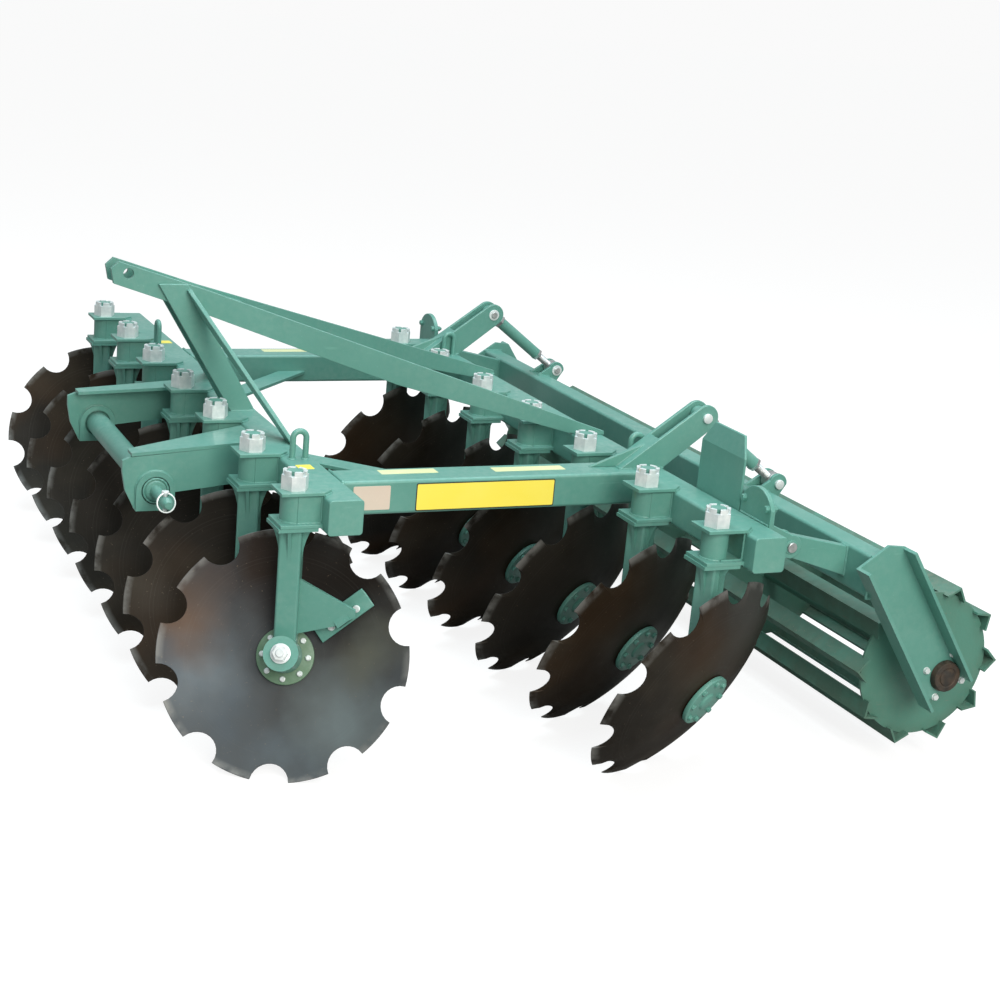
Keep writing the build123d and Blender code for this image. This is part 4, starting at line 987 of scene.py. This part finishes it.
def make_bearings():
    """Rusty bearing cap on each roller arm, and its four bolts."""
    caps, bolts = [], []
    bolt = hex_bolt(*BEARING_BOLT)
    cap = turned([
        (0, 0.0005), (0.0375, 0.0005), (0.0385, 0.0020), (0.0380, 0.0060),
        (0.0360, 0.0150), (0.0345, 0.0165), (0.0250, 0.0168), (0.0225, 0.0152),
        (0.0212, 0.0152), (0.0202, 0.0174), (0.0190, 0.0180), (0, 0.0184),
    ], 40)
    for side, web in WEB_YS:
        centre = np.array([DRUM[0], web, DRUM[1]])
        caps.append(placed(cap, centre, (1, 0, 0), (0, side, 0)))
        for angle in np.radians(BEARING_BOLT_ANGLES):
            spot = centre + BEARING_BOLT_CIRCLE * np.array([cos(angle), 0, sin(angle)])
            bolts.append(placed(bolt, spot, (1, 0, 0), (0, side, 0)))
    piece("bearing_caps", join(caps), RUSTY, "roller_frame")
    piece("bearing_bolts", join(bolts), PLATED, "roller_frame")


def make_plate_bolts():
    """Bolts through the hinge plates above the rear beam, with nuts behind."""
    items = []
    front = REAR_BEAM[0][0]
    for y in HINGE_YS:
        for step in (-0.048, 0.048):
            spot = (front, y + step, TOP + 0.036)
            items.append(placed(hex_bolt(*PLATE_BOLT), spot, (0, 1, 0), (1, 0, 0)))
            nut = join([hex_bolt(*PLATE_NUT), threaded(0.0045, 0.008, 0.014)])
            items.append(placed(nut, (front - 0.012, *spot[1:]), (0, 1, 0), (-1, 0, 0)))
    piece("hinge_plate_bolts", join(items), TEAL, "harrow_frame")


# Blank labels and plates

def make_labels():
    """Blank label and plate on the left rail's side, blank strips and small stickers on the tops."""
    side_y = RAIL[1][1]

    def on_side(span, heights, thick, corner):
        (x0, x1), (z0, z1) = span, heights
        flat = slab(rounded_outline(x1 - x0, z1 - z0, corner), -0.0004, thick, 0.0001)
        return placed(flat, ((x0 + x1) / 2, side_y, (z0 + z1) / 2), (-1, 0, 0), (0, 1, 0))

    def on_top(x0, x1, y, width):
        flat = slab(rounded_outline(x1 - x0, width, 0.002), -0.0004, 0.0005, 0.0001)
        return placed(flat, ((x0 + x1) / 2, y, TOP), (1, 0, 0), (0, 0, 1))

    def inset(ends):
        return ends[0] + LABEL_BORDER, ends[1] - LABEL_BORDER

    border = on_side(LABEL, LABEL_HEIGHTS, 0.0004, 0.004)
    face = on_side(inset(LABEL), inset(LABEL_HEIGHTS), 0.0006, 0.003)
    plate = on_side(CREAM_PLATE, CREAM_HEIGHTS, 0.0012, 0.003)
    piece("label_border", border, BLACK, "harrow_frame")
    piece("label_face", face, YELLOW, "harrow_frame")
    piece("cream_plate", plate, CREAM, "harrow_frame")
    strips = [on_top(*strip, STRIP_WIDTH) for strip in PALE_STRIPS]
    piece("pale_strips", join(strips), PALE, "harrow_frame")
    stickers = [on_top(*sticker, STICKER_WIDTH) for sticker in STICKERS]
    piece("small_stickers", join(stickers), YELLOW, "harrow_frame")


finish_nodes()
make_discs()
make_standard_fittings()
make_bracket_welds()
make_frame_welds()
make_roller_welds()
make_linch_pins()
make_pin_heads()
make_turnbuckles()
make_bearings()
make_plate_bolts()
make_labels()


# Floor, light and camera

def make_floor():
    """Plain pale floor, bright to the camera and duller in what it throws back."""
    reach = 60.0
    corners = [(-reach, -reach, 0), (reach, -reach, 0), (reach, reach, 0), (-reach, reach, 0)]
    mesh = bpy.data.meshes.new("floor")
    mesh.from_pydata(corners, [], [(0, 1, 2, 3)])
    material, tree, shader = new_material("pale floor")
    seen = tree.nodes.new("ShaderNodeLightPath").outputs["Is Camera Ray"]
    base = mixed(tree, seen, (0.34, 0.33, 0.32, 1), (0.22, 0.22, 0.22, 1))
    tree.links.new(base, shader.inputs["Base Color"])
    glow = mixed(tree, seen, (0, 0, 0, 1), (0.86, 0.86, 0.86, 1))
    tree.links.new(glow, shader.inputs["Emission Color"])
    shader.inputs["Emission Strength"].default_value = 1.0
    shader.inputs["Roughness"].default_value = 1.0
    shader.inputs["Specular IOR Level"].default_value = 0.0
    mesh.materials.append(material)
    floor = bpy.data.objects.new("floor", mesh)
    bpy.context.scene.collection.objects.link(floor)


def make_lights():
    """White surroundings that light little, a cool light above and a warmer one from the left."""
    world = bpy.data.worlds.new("studio")
    world.use_nodes = True
    tree = world.node_tree
    backdrop = tree.nodes["Background"]
    seen = tree.nodes.new("ShaderNodeLightPath").outputs["Is Camera Ray"]
    glow = mixed(tree, seen, (0.42, 0.43, 0.43, 1), (0.955, 0.955, 0.955, 1))
    tree.links.new(glow, backdrop.inputs["Color"])
    bpy.context.scene.world = world
    for name, spot, size, power, colour in (
        ("overhead", (0.0, 0.3, 5.5), 5.0, 310.0, (0.80, 0.94, 1.0)),
        ("key", (0.3, 6.2, 3.4), 3.5, 330.0, (1.0, 0.95, 0.88)),
    ):
        light = bpy.data.lights.new(name, "AREA")
        light.size = size
        light.energy = power
        light.color = colour
        lamp = bpy.data.objects.new(name, light)
        lamp.location = spot
        towards = Vector((0, 0, 0.3)) - Vector(spot)
        lamp.rotation_euler = towards.to_track_quat("-Z", "Y").to_euler()
        bpy.context.scene.collection.objects.link(lamp)


def make_camera():
    """Camera at the photograph's place, turned by its azimuth, elevation and roll."""
    azimuth, elevation, roll = radians(CAMERA_AZIMUTH), radians(CAMERA_ELEVATION), radians(CAMERA_ROLL)
    back = Vector((sin(azimuth) * cos(elevation), -cos(azimuth) * cos(elevation), sin(elevation)))
    right = Vector((0, 0, 1)).cross(back).normalized()
    up = back.cross(right)
    rolled_right = cos(roll) * right + sin(roll) * up
    rolled_up = cos(roll) * up - sin(roll) * right
    data = bpy.data.cameras.new("camera")
    data.sensor_width = SENSOR_WIDTH
    data.sensor_fit = "HORIZONTAL"
    data.lens = SENSOR_WIDTH * CAMERA_FOCAL
    data.shift_y = -0.001
    data.clip_end = 200.0
    made = bpy.data.objects.new("camera", data)
    matrix = np.eye(4)
    matrix[:3, :3] = np.array([rolled_right, rolled_up, back]).T
    matrix[:3, 3] = CAMERA_SPOT
    made.matrix_world = Matrix(matrix.tolist())
    bpy.context.scene.collection.objects.link(made)
    bpy.context.scene.camera = made


make_floor()
make_lights()
make_camera()

bpy.context.scene.view_settings.view_transform = "Standard"
